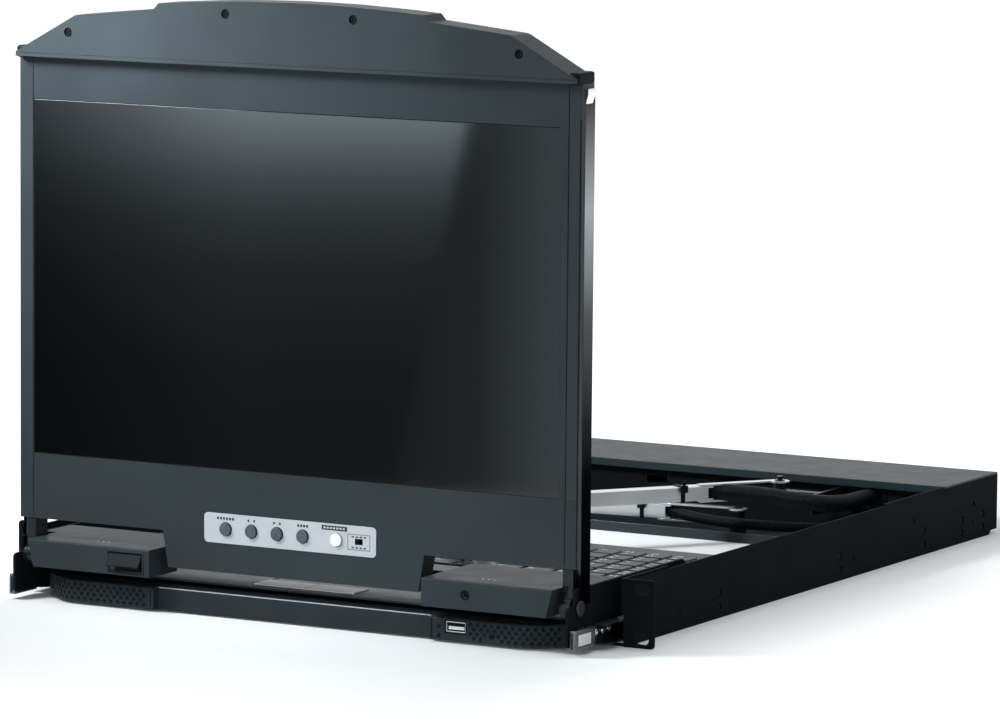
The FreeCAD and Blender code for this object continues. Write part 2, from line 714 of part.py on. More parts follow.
def upper_handle():
    """Full-width pull above the panel: slanted ends, a raised middle with an arched top."""
    body = new_body()
    right = [
        (HANDLE_HALF, f"{LCD_TOP} + rail_play"), (HANDLE_HALF, f"{LCD_TOP} + 3.4"),
        (HANDLE_SHOULDER, f"{LCD_TOP} + handle_shoulder_rise"),
        ("handle_step", f"{LCD_TOP} + handle_step_rise"),
        ("handle_step - 3.5", f"{LCD_TOP} + handle_step_rise + 4"),
        ("handle_step - 3.5", f"{LCD_TOP} + handle_crown_rise")]
    left = [(f"-({x})", height) for x, height in reversed(right)]
    front = f"{LCD_BACK} - handle_depth"
    pull = pad(body, "XZ", front, LCD_BACK, right + left)
    shoulder = (value("glass_width") / 2 + value("bezel_side") - value("handle_inset")
                - value("handle_slope"))
    round_edges(body, pull, "9", lambda direction, middle:
                abs(direction.y) > 0.9 and abs(abs(middle.x) - shoulder) < 0.1)
    grip = rectangle(("-handle_step + 12", "handle_step - 12"), (f"{LCD_TOP} + 8", f"{LCD_TOP} + 28"))
    pocket(body, "XZ", f"{LCD_BACK} - handle_depth / 2", f"{LCD_BACK} + 1", [grip])
    holes = [(f"{sign} * {x}", f"{LCD_TOP} + {rise}", "3") for sign in (-1, 1)
             for x, rise in ((f"({HANDLE_SHOULDER} + 6)", "17.3"), ("47.5", "34"))]
    pocket(body, "XZ", f"{front} - 1", f"{front} + 1.6", [], holes)
    # the arched top is the body cut by a large cylinder whose sagitta is the crown's rise
    drop = "(handle_crown_rise - handle_step_rise - 4)"
    reach = "(handle_step - 3.5)"
    radius = f"({reach} * {reach} + {drop} * {drop}) / (2 * {drop})"
    arch = rod("y", ("0", f"{front} - 1", f"{LCD_TOP} + handle_crown_rise - {radius}"),
               "handle_depth + 2", radius)
    arched = doc.addObject("Part::Common", "Arched")
    arched.Base = body
    arched.Tool = arch
    return node(arched, "upper_handle")


BRACKET_FAR = f"{PLATE_INNER} - 1"
BRACKET_FOOT = "11.5"


def hinge_bracket(sign):
    """Display foot that turns on the hinge pin."""
    near = f"min({BRACKET_FAR} - bracket_width; {LCD_HALF} - {BRACKET_FOOT})"
    xs = span(sign, near, BRACKET_FAR)
    arm = block(xs, (f"{LCD_FRONT} + 1", f"{LCD_BACK} - 1.5"), ("hinge_height", "lcd_base"))
    start = f"{BRACKET_FAR} - bracket_width" if sign > 0 else f"-({BRACKET_FAR})"
    knuckle = rod("x", (start, *HINGE), "bracket_width", "bracket_knuckle")
    bore_start = f"{BRACKET_FAR} - bracket_width - 1" if sign > 0 else f"-({BRACKET_FAR}) - 1"
    bore = rod("x", (bore_start, *HINGE), "bracket_width + 2", f"hinge_pin_radius + {PIN_FIT}")
    return cut(join([arm, knuckle]), [bore])


def button_label():
    """Thin plate round the buttons."""
    body = new_body()
    middle = "-1.6"
    ys = (f"{LCD_FRONT} - 0.4", LCD_FRONT)
    outline = rectangle((f"{middle} - 64.8", f"{middle} + 64.8"),
                        ("button_row_height - 9.4", "button_row_height + 10.2"))
    plate = pad(body, "XZ", *ys, outline)
    round_edges(body, plate, "3", lambda direction, middle: abs(direction.y) > 0.9)
    window = rectangle((f"{SWITCH_CENTRE} - {SWITCH_WINDOW[0]}", f"{SWITCH_CENTRE} + {SWITCH_WINDOW[0]}"),
                       (f"button_row_height - {SWITCH_WINDOW[1]}",
                        f"button_row_height + {SWITCH_WINDOW[1]}"))
    holes = [(centre, "button_row_height", "button_radius + rail_play") for centre in BUTTON_CENTRES]
    pocket(body, "XZ", f"{LCD_FRONT} - 1", f"{LCD_FRONT} + 0.5", [window], holes)
    return node(body, "button_label")


def side_catch(sign):
    """Bright hook on the display's edge that holds it shut."""
    body = new_body()
    tip = signed(sign, f"{LCD_HALF} + 2.4")
    outline = [(signed(sign, LCD_HALF), f"{LCD_TOP} - 13"), (signed(sign, LCD_HALF), f"{LCD_TOP} - 3"),
               (tip, f"{LCD_TOP} - 3"), (tip, f"{LCD_TOP} - 6")]
    pad(body, "XZ", f"{LCD_FRONT} + 4", f"{LCD_FRONT} + 13", outline)
    return body


lcd_bezel()
lcd_back_shell()
upper_handle()
button_label()
node(block(("-glass_width / 2", "glass_width / 2"), (LCD_FRONT, f"{LCD_FRONT} + glass_thickness"),
           ("glass_base", "glass_base + glass_height")), "screen_glass")
node(block(("-glass_width / 2 + 1", "glass_width / 2 - 1"),
           (f"{LCD_FRONT} + glass_thickness + 0.2", f"{LCD_FRONT} + glass_thickness + 9"),
           ("glass_base + 1", "glass_base + glass_height - 1")), "display_module")
node(group([hinge_bracket(sign) for sign in SIDES.values()]), "hinge_brackets")
node(group([side_catch(sign) for sign in SIDES.values()]), "side_catches")

for name, centre in zip(BUTTON_NAMES, BUTTON_CENTRES):
    proud = f"(button_travel + {BUTTON_REST})"
    cap = rod("y", (centre, f"{LCD_FRONT} - {proud}", "button_row_height"),
              f"bezel_depth + {proud} + 1", "button_radius")
    rim = rod("y", (centre, f"{LCD_FRONT} + bezel_depth + 0.2", "button_row_height"), "0.8",
              "button_radius + 1.4")
    node(join([cap, rim]), name)

node(join([
    block((f"{SWITCH_CENTRE} - 1.6", f"{SWITCH_CENTRE} + 0.2"),
          (f"{LCD_FRONT} - 0.8", f"{LCD_FRONT} + bezel_depth + 0.3"),
          ("button_row_height - 1.2", "button_row_height + 1.2")),
    block((f"{SWITCH_CENTRE} - 5", f"{SWITCH_CENTRE} + 5"),
          (f"{LCD_FRONT} + bezel_depth + 0.2", f"{LCD_FRONT} + bezel_depth + 1.2"),
          ("button_row_height - 2.6", "button_row_height + 2.6")),
]), "recovery_switch")

# ---- keyboard drawer -----------------------------------------------------------------------------

TRAY_HALF = "tray_width / 2"
DECK_FRONT = "-deck_front"
DECK_SHEET = "1.5"


def keyboard_tray():
    """Folded tray under the deck, open at the front, with the tab that takes its cable arm."""
    body = new_body()
    top = f"deck_height - {DECK_SHEET}"
    section = [
        (f"-({TRAY_HALF})", "tray_base"), (f"-({TRAY_HALF})", top), (f"-({TRAY_HALF} - skin)", top),
        (f"-({TRAY_HALF} - skin)", "tray_base + skin"), (f"{TRAY_HALF} - skin", "tray_base + skin"),
        (f"{TRAY_HALF} - skin", top), (TRAY_HALF, top), (TRAY_HALF, "tray_base")]
    pad(body, "XZ", DECK_FRONT, "deck_rear", section)
    rear = rectangle((f"-({TRAY_HALF})", TRAY_HALF), ("tray_base", top))
    pad(body, "XZ", "deck_rear - skin", "deck_rear", rear)
    tab = rectangle((f"{KEY_ARM_FRONT_X} - 10", f"{KEY_ARM_FRONT_X} + 10"),
                    ("deck_rear - skin", "deck_rear + key_arm_reach + 9"))
    pad(body, "XY", "key_arm_floor - rail_play - arm_sheet", "key_arm_floor - rail_play", tab)
    return node(body, "keyboard_tray")


KEY_ARM_FRONT_X = "20"
USB_X = ("116", "131")
USB_Z = ("bezel_base + 5", "bezel_base + 12.4")
PULL_HALF = "104"


def keyboard_bezel():
    """Front moulding: swept-back ends, a scooped pull in the middle and a socket opening."""
    body = new_body()
    half = "bezel_width / 2"
    outline = [
        (f"-({half})", DECK_FRONT), (f"-({half})", f"{DECK_FRONT} - 3"),
        (f"-({half} - 24)", "-bezel_front"), (f"{half} - 24", "-bezel_front"),
        (half, f"{DECK_FRONT} - 3"), (half, DECK_FRONT)]
    front = pad(body, "XY", "bezel_base", "bezel_top", outline)
    bend = value("bezel_width") / 2 - 24
    front = round_edges(body, front, "18", lambda direction, middle:
                        abs(direction.z) > 0.9 and abs(abs(middle.x) - bend) < 0.1)
    top = value("bezel_top")
    face = -value("bezel_front")
    round_edges(body, front, "2", lambda direction, middle:
                abs(direction.x) > 0.9 and abs(middle.z - top) < 0.1
                and abs(middle.y - face) < 0.1)
    scoop = rectangle((f"-({PULL_HALF})", PULL_HALF), ("-bezel_front - 1", "-bezel_front + 5"))
    pocket(body, "XY", "bezel_base - 1", "bezel_top + 1", [scoop])
    finger = rectangle((f"-({PULL_HALF} - 8)", f"{PULL_HALF} - 8"),
                       ("bezel_base - 1", "bezel_base + 9"))
    pocket(body, "XZ", "-bezel_front + 7", f"{DECK_FRONT} - 3", [finger])
    socket = rectangle(USB_X, USB_Z)
    pocket(body, "XZ", "-bezel_front - 1", f"{DECK_FRONT} + 1", [socket], [("150", USB_Z[0], "1.4")])
    return node(body, "keyboard_bezel")


def usb_socket():
    """Shell and tongue of the socket in the front moulding."""
    xs = [f"{USB_X[0]} + 0.3", f"{USB_X[1]} - 0.3"]
    zs = [f"{USB_Z[0]} + 0.3", f"{USB_Z[1]} - 0.3"]
    ys = ("-bezel_front + 0.6", "-bezel_front + 15")
    shell = block(xs, ys, zs)
    room = block((f"{xs[0]} + 0.6", f"{xs[1]} - 0.6"), (f"{ys[0]} - 1", f"{ys[1]} - 1"),
                 (f"{zs[0]} + 0.6", f"{zs[1]} - 0.6"))
    tongue = block((f"{xs[0]} + 1.4", f"{xs[1]} - 1.4"), (f"{ys[0]} + 1.5", f"{ys[1]} - 0.5"),
                   (f"{zs[1]} - 1.9", f"{zs[1]} - 0.9"))
    return node(join([cut(shell, [room]), tongue]), "usb_socket")


KEY_BLOCK_FRONT = "106"
KEY_BLOCK_COLUMNS = 19
KEY_BLOCK_ROWS = 6
KEY_RECESS = "2.6"
KEY_SKIRT = "0.8"
PAD_CENTRE = -6.0
PAD_WIDTH = 76.0
PAD_YS = (2.0, 52.0)
PAD_BUTTON_YS = (-19.0, 0.0)

# each row: its place from the front of the key block and its key widths, both in key pitches
MAIN_ROWS = {
    "letter_keys": [
        (0, [1.25, 1.25, 1.25, None, 1.25, 1.25, 1.25, 1.25]),
        (1, [2.25] + [1] * 10 + [2.75]),
        (2, [1.75] + [1] * 11 + [2.25]),
        (3, [1.5] + [1] * 12 + [1.5]),
    ],
    "number_keys": [(4, [1] * 13 + [2])],
    "function_keys": [(5, [1] * 15)],
}
SPACE_LEFT = 3.75
SPACE_WIDTH = 6.25
NUMBER_PAD_LEFT = 15.0
NUMBER_PAD_ROWS = [(0, [2, 1, 1])] + [(row, [1, 1, 1, 1]) for row in range(1, 6)]
POST_SIDE = 5.0
POST_PLAY = 0.5


def key_spaces(rows, left):
    """The left edge, row and width of each key, in pitches; None leaves the space bar's room."""
    spaces = []
    for row, widths in rows:
        edge = left
        for width in widths:
            if width is None:
                edge += SPACE_WIDTH
                continue
            spaces.append((edge, row, width))
            edge += width
    return spaces


KEY_GROUPS = {label: key_spaces(rows, 0.0) for label, rows in MAIN_ROWS.items()}
KEY_GROUPS["space_bar"] = [(SPACE_LEFT, 0, SPACE_WIDTH)]
KEY_GROUPS["number_pad_keys"] = key_spaces(NUMBER_PAD_ROWS, NUMBER_PAD_LEFT)


def key_centre(space):
    left, row, width = space
    pitch = value("key_pitch")
    return ((left + width / 2 - KEY_BLOCK_COLUMNS / 2) * pitch, float(KEY_BLOCK_FRONT) + (row + 0.5) * pitch)


def key_post(space):
    """Guide post that the key's socket slides over."""
    x, y = key_centre(space)
    low = value("deck_height") - float(KEY_RECESS) - 0.1 - value("ear_height") / 2
    high = value("deck_height") - float(KEY_SKIRT) + 0.5 - value("ear_height") / 2
    corner = FreeCAD.Vector(x - POST_SIDE / 2, y - POST_SIDE / 2, low)
    return Part.makeBox(POST_SIDE, POST_SIDE, high - low, corner)


def keyboard_deck():
    """Top sheet with an opening for the touchpad and a dished plate with the keys' guide posts."""
    body = new_body()
    outline = rectangle((f"-({TRAY_HALF})", TRAY_HALF), (DECK_FRONT, "deck_rear"))
    pad(body, "XY", f"deck_height - {DECK_SHEET}", "deck_height", outline)
    half = f"{KEY_BLOCK_COLUMNS} * key_pitch / 2 + 1"
    xs = (f"-({half})", half)
    ys = (f"{KEY_BLOCK_FRONT} - 1", f"{KEY_BLOCK_FRONT} + {KEY_BLOCK_ROWS} * key_pitch + 1")
    dish = rectangle([f"{xs[0]} - {DECK_SHEET}", f"{xs[1]} + {DECK_SHEET}"],
                     [f"{ys[0]} - {DECK_SHEET}", f"{ys[1]} + {DECK_SHEET}"])
    pad(body, "XY", f"deck_height - {KEY_RECESS} - {DECK_SHEET}", f"deck_height - {DECK_SHEET} + 0.2",
        dish)
    pocket(body, "XY", f"deck_height - {KEY_RECESS}", "deck_height + 1", [rectangle(xs, ys)])
    pad_well = rectangle((f"{PAD_CENTRE - PAD_WIDTH / 2} - 0.4", f"{PAD_CENTRE + PAD_WIDTH / 2} + 0.4"),
                         (f"{PAD_BUTTON_YS[0]} - 0.4", f"{PAD_YS[1]} + 0.4"))
    pocket(body, "XY", f"deck_height - {DECK_SHEET} - 1", "deck_height + 1", [pad_well])
    posts = doc.addObject("Part::Feature", "Posts")
    posts.Shape = Part.makeCompound([key_post(space) for group_spaces in KEY_GROUPS.values()
                                     for space in group_spaces])
    return node(join([body, posts]), "keyboard_deck")


def tapered_ring(centre, half, level):
    x, y = centre
    corners = [(-1, -1), (1, -1), (1, 1), (-1, 1), (-1, -1)]
    return Part.makePolygon([FreeCAD.Vector(x + across * half[0], y + along * half[1], level)
                             for across, along in corners])


def key_cap(space):
    """A tapered cap with a socket in its underside."""
    pitch = value("key_pitch")
    gap = 1.6
    taper = 1.2
    base = value("deck_height") - float(KEY_SKIRT) - value("ear_height") / 2
    top = value("deck_height") + value("key_height") + 0.2 - value("ear_height") / 2
    half = (space[2] * pitch / 2 - gap / 2, pitch / 2 - gap / 2)
    centre = key_centre(space)
    upper = (centre[0], centre[1] + taper / 4)
    rings = [tapered_ring(centre, half, base),
             tapered_ring(upper, (half[0] - taper, half[1] - taper * 0.75), top)]
    socket = POST_SIDE + 2 * POST_PLAY
    corner = FreeCAD.Vector(centre[0] - socket / 2, centre[1] - socket / 2, base - 1)
    depth = 1 + 0.5 + value("key_travel") + 0.4
    return Part.makeLoft(rings, True, True).cut(Part.makeBox(socket, socket, depth, corner))


def keys():
    for label, spaces in KEY_GROUPS.items():
        feature = doc.addObject("Part::Feature", "Caps")
        feature.Shape = Part.makeCompound([key_cap(space) for space in spaces])
        node(feature, label)


def touchpad():
    """Glass pad and its two bright buttons."""
    half = PAD_WIDTH / 2
    level = ("deck_height - 1.4", "deck_height - 0.3")
    node(block((f"{PAD_CENTRE - half}", f"{PAD_CENTRE + half}"), (f"{PAD_YS[0]}", f"{PAD_YS[1]}"), level),
         "touchpad")
    for side, sign in SIDES.items():
        near, far = sorted((PAD_CENTRE + sign * 0.2, PAD_CENTRE + sign * half))
        ys = [f"{y}" for y in PAD_BUTTON_YS]
        node(block((f"{near}", f"{far}"), ys, ("deck_height - 1.2", "deck_height + 0.8")),
             f"touchpad_button_{side}")


KEY_RAIL_GAP = "rail_play"


def keyboard_middle_rail(sign):
    far = f"{KEYBOARD_RAIL_WEB} - rail_sheet - {KEY_RAIL_GAP}"
    return channel_rail(sign, far, f"{KEYBOARD_RAIL_WIDTH} - rail_sheet - {KEY_RAIL_GAP}",
                        f"skin + rail_sheet + {KEY_RAIL_GAP}",
                        f"({KEYBOARD_RAIL_HEIGHT} - 2 * rail_sheet - 2 * {KEY_RAIL_GAP})",
                        ("ear_thickness + 6", "ear_thickness + keyboard_rail_length - 6"), True)


def keyboard_runner(sign):
    """Moving member on the tray's side, nested in the middle one."""
    far = f"{KEYBOARD_RAIL_WEB} - 2 * rail_sheet - 2 * {KEY_RAIL_GAP}"
    inset = f"2 * (rail_sheet + {KEY_RAIL_GAP})"
    return channel_rail(sign, far, f"({far} - {TRAY_HALF})", f"skin + {inset}",
                        f"({KEYBOARD_RAIL_HEIGHT} - 2 * {inset})",
                        ("-16", "ear_thickness + keyboard_rail_length - 20"), False)


keyboard_tray()
keyboard_bezel()
usb_socket()
keyboard_deck()
keys()
touchpad()
node(group([keyboard_middle_rail(sign) for sign in SIDES.values()]), "keyboard_middle_rails")
node(group([keyboard_runner(sign) for sign in SIDES.values()]), "keyboard_runners")

# ---- cable arms ----------------------------------------------------------------------------------

PIVOT_FIT = "0.05"
EYE_RADIUS = "7"
KEY_ARM_REAR_X = "72"


def elbow_point(rear, front, rear_length, front_length):
    """Where the two links meet, on the left of the line between their outer pivots."""
    line = front - rear
    reach = (rear_length ** 2 - front_length ** 2 + line.Length ** 2) / (2 * line.Length)
    rise = (rear_length ** 2 - reach ** 2) ** 0.5
    direction = FreeCAD.Vector(line).normalize()
    across = FreeCAD.Vector(direction.y, -direction.x, 0)
    return rear + direction * reach + across * rise


def pair_of_tongues(levels, near, far, at, sheet="arm_sheet"):
    """Flat tongues from the channel to a pivot, rounded round the pivot."""
    shapes = []
    for level in levels:
        shapes.append(rod("z", (at, "0", level), sheet, EYE_RADIUS))
        shapes.append(block((near, far), (f"-{EYE_RADIUS}", "-0.8"), (level, f"{level} + {sheet}")))
    return shapes


def arm_link(label, start, end, floor, clear, kinds):
    """Folded channel beside the line of its pivots, so that the arm folds flat. An "over" end closes
    over its mate and carries the rivet, a "drilled" end does so without one, an "under" end is
    drilled for the mate's rivet, and a "foot" end has one low tongue with a stud."""
    along = end - start
    length = f"{along.Length}"
    base = f"({floor} + arm_sheet + 0.2)"
    top = f"({base} + arm_channel_height)"
    ys = ("-0.8 - arm_channel_width", "-0.8")
    xs = (clear[0], f"{length} - {clear[1]}")
    channel = block(xs, ys, (base, top))
    hollow = block((f"{xs[0]} - 1", f"{xs[1]} + 1"), (f"{ys[0]} - 1", f"{ys[1]} - arm_sheet"),
                   (f"{base} + arm_sheet", f"{top} - arm_sheet"))
    solids = [cut(channel, [hollow])]
    bores = []
    for kind, at, inward, reach in ((kinds[0], "0", 1, clear[0]), (kinds[1], length, -1, clear[1])):
        near, far = ("0", f"{reach} + 6") if inward > 0 else (f"{length} - {reach} - 6", length)
        step = "0" if kind == "under" else "(arm_sheet + 0.2)"
        levels = [f"{base} - {step}", f"{top} - arm_sheet + {step}"]
        if kind == "foot":
            levels = levels[:1]
        solids += pair_of_tongues(levels, near, far, at)
        if kind != "under":
            edge = f"{reach} - 4" if inward > 0 else f"{length} - {reach}"
            joggles = [(levels[0], f"{base} + arm_sheet"), (f"{top} - arm_sheet", f"{top} + {step}")]
            for heights in joggles[:len(levels)]:
                solids.append(block((edge, f"{edge} + 4"), (f"-{EYE_RADIUS}", "-0.8"), heights))
        if kind in ("under", "drilled"):
            bores.append(rod("z", (at, "0", f"{floor} - 1"), "arm_channel_height + 2 * arm_sheet + 4",
                             f"arm_pivot_radius + {PIVOT_FIT}"))
        elif kind == "over":
            solids.append(rod("z", (at, "0", floor), "arm_channel_height + 2 * arm_sheet + 0.4",
                              "arm_pivot_radius"))
            solids.append(rod("z", (at, "0", f"{top} + {step}"), "0.6", "arm_pivot_radius + 1.6"))
        else:
            solids.append(rod("z", (at, "0", floor), "arm_sheet + 0.8", "arm_pivot_radius + 1.6"))
    link = join(solids)
    if bores:
        link = cut(link, bores)
    link.Placement = FreeCAD.Placement(start, FreeCAD.Rotation(FreeCAD.Vector(1, 0, 0), along))
    return node(link, label)


def bracket_post(x, y, floor, base):
    """Fixed post between the arm's two tongues, and the rivet through them."""
    inside = f"({floor} + arm_sheet + 0.4)"
    head = f"({floor} + 2 * arm_sheet + arm_channel_height + 0.5)"
    return [
        rod("z", (x, y, inside), "arm_channel_height - 0.4", "5"),
        rod("z", (x, y, base), f"{head} - {base}", "arm_pivot_radius"),
        rod("z", (x, y, head), "0.6", "arm_pivot_radius + 1.6"),
    ]


depth = value("chassis_depth")
cover_front = depth - value("cover_length")
beam_rear = float(BEAM_FRONT) + value("beam_depth")
lcd_rear = FreeCAD.Vector(float(ARM_PIVOT_X), depth - value("lcd_arm_setback"), 0)
lcd_front = FreeCAD.Vector(float(ARM_PIVOT_X), beam_rear + value("lcd_arm_reach"), 0)
lcd_elbow = elbow_point(lcd_rear, lcd_front, value("lcd_arm_link"), value("lcd_arm_link"))
key_rear = FreeCAD.Vector(float(KEY_ARM_REAR_X), depth - value("key_arm_setback"), 0)
key_front = FreeCAD.Vector(float(KEY_ARM_FRONT_X), value("deck_rear") + value("key_arm_reach"), 0)
key_elbow = elbow_point(key_rear, key_front, value("key_arm_rear_link"), value("key_arm_front_link"))

arm_link("lcd_arm_rear_link", lcd_rear, lcd_elbow, "lcd_arm_floor", ("56", "18"), ("drilled", "under"))
arm_link("lcd_arm_front_link", lcd_elbow, lcd_front, "lcd_arm_floor", ("18", "18"), ("over", "foot"))
arm_link("keyboard_arm_rear_link", key_rear, key_elbow, "key_arm_floor", ("56", "18"),
         ("drilled", "under"))
arm_link("keyboard_arm_front_link", key_elbow, key_front, "key_arm_floor", ("18", "18"),
         ("over", "foot"))

ARM_POST_Y = {"lcd": "chassis_depth - lcd_arm_setback", "keyboard": "chassis_depth - key_arm_setback"}
UPPER_POST_LEVELS = ("lcd_arm_floor + arm_sheet + 0.4", "lcd_arm_floor + arm_sheet + 5.4")


def arm_brackets():
    """Posts for the two arms: the upper one hangs on an angle from the bulkhead."""
    upper = bracket_post(ARM_PIVOT_X, ARM_POST_Y["lcd"], "lcd_arm_floor", UPPER_POST_LEVELS[0])
    upper += [
        block((ARM_PIVOT_X, "141.5"), (f"{ARM_POST_Y['lcd']} - 4", f"{ARM_POST_Y['lcd']} + 4"),
              UPPER_POST_LEVELS),
        block(("140", "141.5"), (f"{ARM_POST_Y['lcd']} - 16", BULKHEAD), ("23", "wall_height - 4.5")),
        block(("141.5", "149"), (f"{BULKHEAD} - 1.5", BULKHEAD), ("23", "wall_height - 4.5")),
    ]
    low_rear = f"{ARM_POST_Y['keyboard']}"
    lower = bracket_post(KEY_ARM_REAR_X, low_rear, "key_arm_floor", "skin")
    lower += [rod("z", (KEY_ARM_REAR_X, low_rear, "skin"), "key_arm_floor - skin - 0.2", "6")]
    return node(group([join(upper), join(lower)]), "arm_brackets")


def sleeve_tail(height, radius, straight):
    """Sleeve that comes straight out of its window in the bulkhead."""
    return rod("y", (SLEEVE_X, f"{BULKHEAD} - {straight}", height), f"{straight} + sleeve_inside", radius)


def cable_tails():
    """Fixed ends of the two sleeved cable runs, from the bulkhead's windows towards the arms."""
    upper = sleeve_tail("upper_sleeve_height", "upper_sleeve_radius", "upper_sleeve_straight")
    lower = sleeve_tail("lower_sleeve_height", "lower_sleeve_radius", "lower_sleeve_straight")
    return node(group([upper, lower]), "cable_tails")


arm_brackets()
cable_tails()

# ---- rear bay ------------------------------------------------------------------------------------

INSIDE_REAR = "chassis_depth - skin"
ROCKER_PIVOT = "chassis_depth - 1"


def power_inlet():
    """Moulded module: an inlet with three blades and the cup of the rocker beside it."""
    back = "chassis_depth - 22"
    nose = "chassis_depth + 1.5"
    body = block((f"{INLET_X[0]} - 2", f"{SWITCH_X[1]} + 2"), (back, f"{INSIDE_REAR} - 0.1"),
                 (f"{INLET_Z[0]} - 2", f"{INLET_Z[1]} + 2"))
    inlet = block((f"{INLET_X[0]} + 0.3", f"{INLET_X[1]} - 0.3"), (back, nose),
                  (f"{INLET_Z[0]} + 0.3", f"{INLET_Z[1]} - 0.3"))
    room = block((f"{INLET_X[0]} + 2", f"{INLET_X[1]} - 2"), (f"{nose} - 16", f"{nose} + 1"),
                 (f"{INLET_Z[0]} + 2.5", f"{INLET_Z[1]} - 2.5"))
    cup = block((f"{SWITCH_X[0]} + 0.3", f"{SWITCH_X[1]} - 0.3"), (f"{INSIDE_REAR} - 8", f"{nose} + 1"),
                (f"{SWITCH_Z[0]} + 0.3", f"{SWITCH_Z[1]} - 0.3"))
    blades = []
    for across, up in ((-7.0, -1.0), (0.0, 2.5), (7.0, -1.0)):
        blades.append(block((f"-166 + {across} - 1", f"-166 + {across} + 1"),
                            (f"{nose} - 17", f"{nose} - 4"), (f"20.5 + {up} - 2.5", f"20.5 + {up} + 1.5")))
    return node(join([cut(join([body, inlet]), [room, cup])] + blades), "power_inlet")


def power_rocker():
    """Two-way rocker, dished so that one half always stands out."""
    body = new_body()
    middle = "20.5"
    outline = [
        (f"{ROCKER_PIVOT} - 4", f"{middle} - 5"), (f"{ROCKER_PIVOT} + 3.4", f"{middle} - 9.2"),
        (f"{ROCKER_PIVOT} + 1.6", middle), (f"{ROCKER_PIVOT} + 3.4", f"{middle} + 9.2"),
        (f"{ROCKER_PIVOT} - 4", f"{middle} + 5")]
    pad(body, "YZ", f"{SWITCH_X[0]} + 0.8", f"{SWITCH_X[1]} - 0.8", outline)
    pad(body, "YZ", f"{SWITCH_X[0]} + 0.4", f"{SWITCH_X[1]} - 0.4", None,
        [(ROCKER_PIVOT, middle, "1.5")])
    return node(body, "power_rocker")


BOARD = ("9.3", "10.9")
PORT_SPANS = [("62", "93"), ("101", "113"), ("121", "137")]


def controller_board():
    board = block(("-95", "145"), (f"{BULKHEAD} + 8", f"{INSIDE_REAR} - 3"), BOARD)
    stands = [rod("z", (x, y, "skin"), f"{BOARD[0]} - skin", "2.5")
              for x in ("-88", "138") for y in (f"{BULKHEAD} + 14", f"{INSIDE_REAR} - 10")]
    return node(join([board] + stands), "controller_board")


def signal_ports():
    """Three bare sockets on the board, seen through the back panel's opening."""
    ports = []
    for near, far in PORT_SPANS:
        shell = block((near, far), (f"{INSIDE_REAR} - 14", "chassis_depth + 2"), (BOARD[1], "24"))
        room = block((f"{near} + 1.2", f"{far} - 1.2"), ("chassis_depth - 6", "chassis_depth + 3"),
                     (f"{BOARD[1]} + 1.2", "22.8"))
        ports.append(cut(shell, [room]))
    return node(group(ports), "signal_ports")


power_inlet()
power_rocker()
controller_board()
signal_ports()
node(block(("-185", "-105"), (f"{BULKHEAD} + 4", "chassis_depth - 24"), ("skin + 0.5", "38")),
     "power_supply")

# ---- checks and files ----------------------------------------------------------------------------

doc.recompute()
for item in doc.Objects:
    if "Invalid" in item.State or "Error" in item.State:
        raise RuntimeError(f"{item.Label} failed to build: {item.State}")
for item in nodes:
    if item.Shape.isNull() or not item.Shape.isValid():
        raise RuntimeError(f"{item.Label} has no valid shape")

os.makedirs("parts", exist_ok=True)
for item in nodes:
    item.Shape.exportStep(f"parts/{item.Label}.step")
print(len(nodes), "sub-parts written")
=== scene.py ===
import json
import math
import random

import bpy
from mathutils import Matrix, Vector

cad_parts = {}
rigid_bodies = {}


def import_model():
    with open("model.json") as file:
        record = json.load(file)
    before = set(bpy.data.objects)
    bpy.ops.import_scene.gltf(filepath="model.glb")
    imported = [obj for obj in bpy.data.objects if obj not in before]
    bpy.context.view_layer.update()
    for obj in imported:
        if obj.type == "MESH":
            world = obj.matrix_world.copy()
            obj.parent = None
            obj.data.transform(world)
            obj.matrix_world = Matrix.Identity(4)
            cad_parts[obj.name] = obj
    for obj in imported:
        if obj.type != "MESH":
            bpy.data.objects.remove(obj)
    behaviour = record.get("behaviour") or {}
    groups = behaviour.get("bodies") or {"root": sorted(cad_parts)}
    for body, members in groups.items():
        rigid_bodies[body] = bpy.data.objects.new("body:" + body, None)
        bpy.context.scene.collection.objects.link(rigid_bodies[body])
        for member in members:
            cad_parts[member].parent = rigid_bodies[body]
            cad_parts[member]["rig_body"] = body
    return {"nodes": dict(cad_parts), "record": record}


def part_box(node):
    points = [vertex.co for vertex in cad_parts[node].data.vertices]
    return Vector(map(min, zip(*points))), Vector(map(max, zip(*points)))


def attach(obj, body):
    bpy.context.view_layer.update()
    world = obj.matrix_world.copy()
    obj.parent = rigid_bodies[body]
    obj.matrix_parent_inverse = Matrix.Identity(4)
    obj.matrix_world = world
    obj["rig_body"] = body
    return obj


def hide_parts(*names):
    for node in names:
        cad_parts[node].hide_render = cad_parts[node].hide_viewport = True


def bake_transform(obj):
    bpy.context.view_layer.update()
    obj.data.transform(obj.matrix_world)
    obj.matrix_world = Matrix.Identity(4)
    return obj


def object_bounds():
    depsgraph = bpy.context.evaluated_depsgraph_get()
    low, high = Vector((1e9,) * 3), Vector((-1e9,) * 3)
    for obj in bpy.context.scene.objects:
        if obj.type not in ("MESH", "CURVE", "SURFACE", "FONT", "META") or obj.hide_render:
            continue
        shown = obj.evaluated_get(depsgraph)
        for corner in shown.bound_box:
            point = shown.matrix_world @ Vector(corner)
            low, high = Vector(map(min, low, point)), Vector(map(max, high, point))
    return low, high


# %% [markdown]
# # Rackmount LCD console drawer
# A rack drawer, one unit high: a fold-up display on a sliding carriage, a keyboard drawer below it
# and two folding cable arms behind. The solids come from CAD. Here each one gets its soft edges,
# its small trim and its finish. The CAD frame has its origin between the four rack-ear slots, with
# X to the right, Y into the rack and Z up.

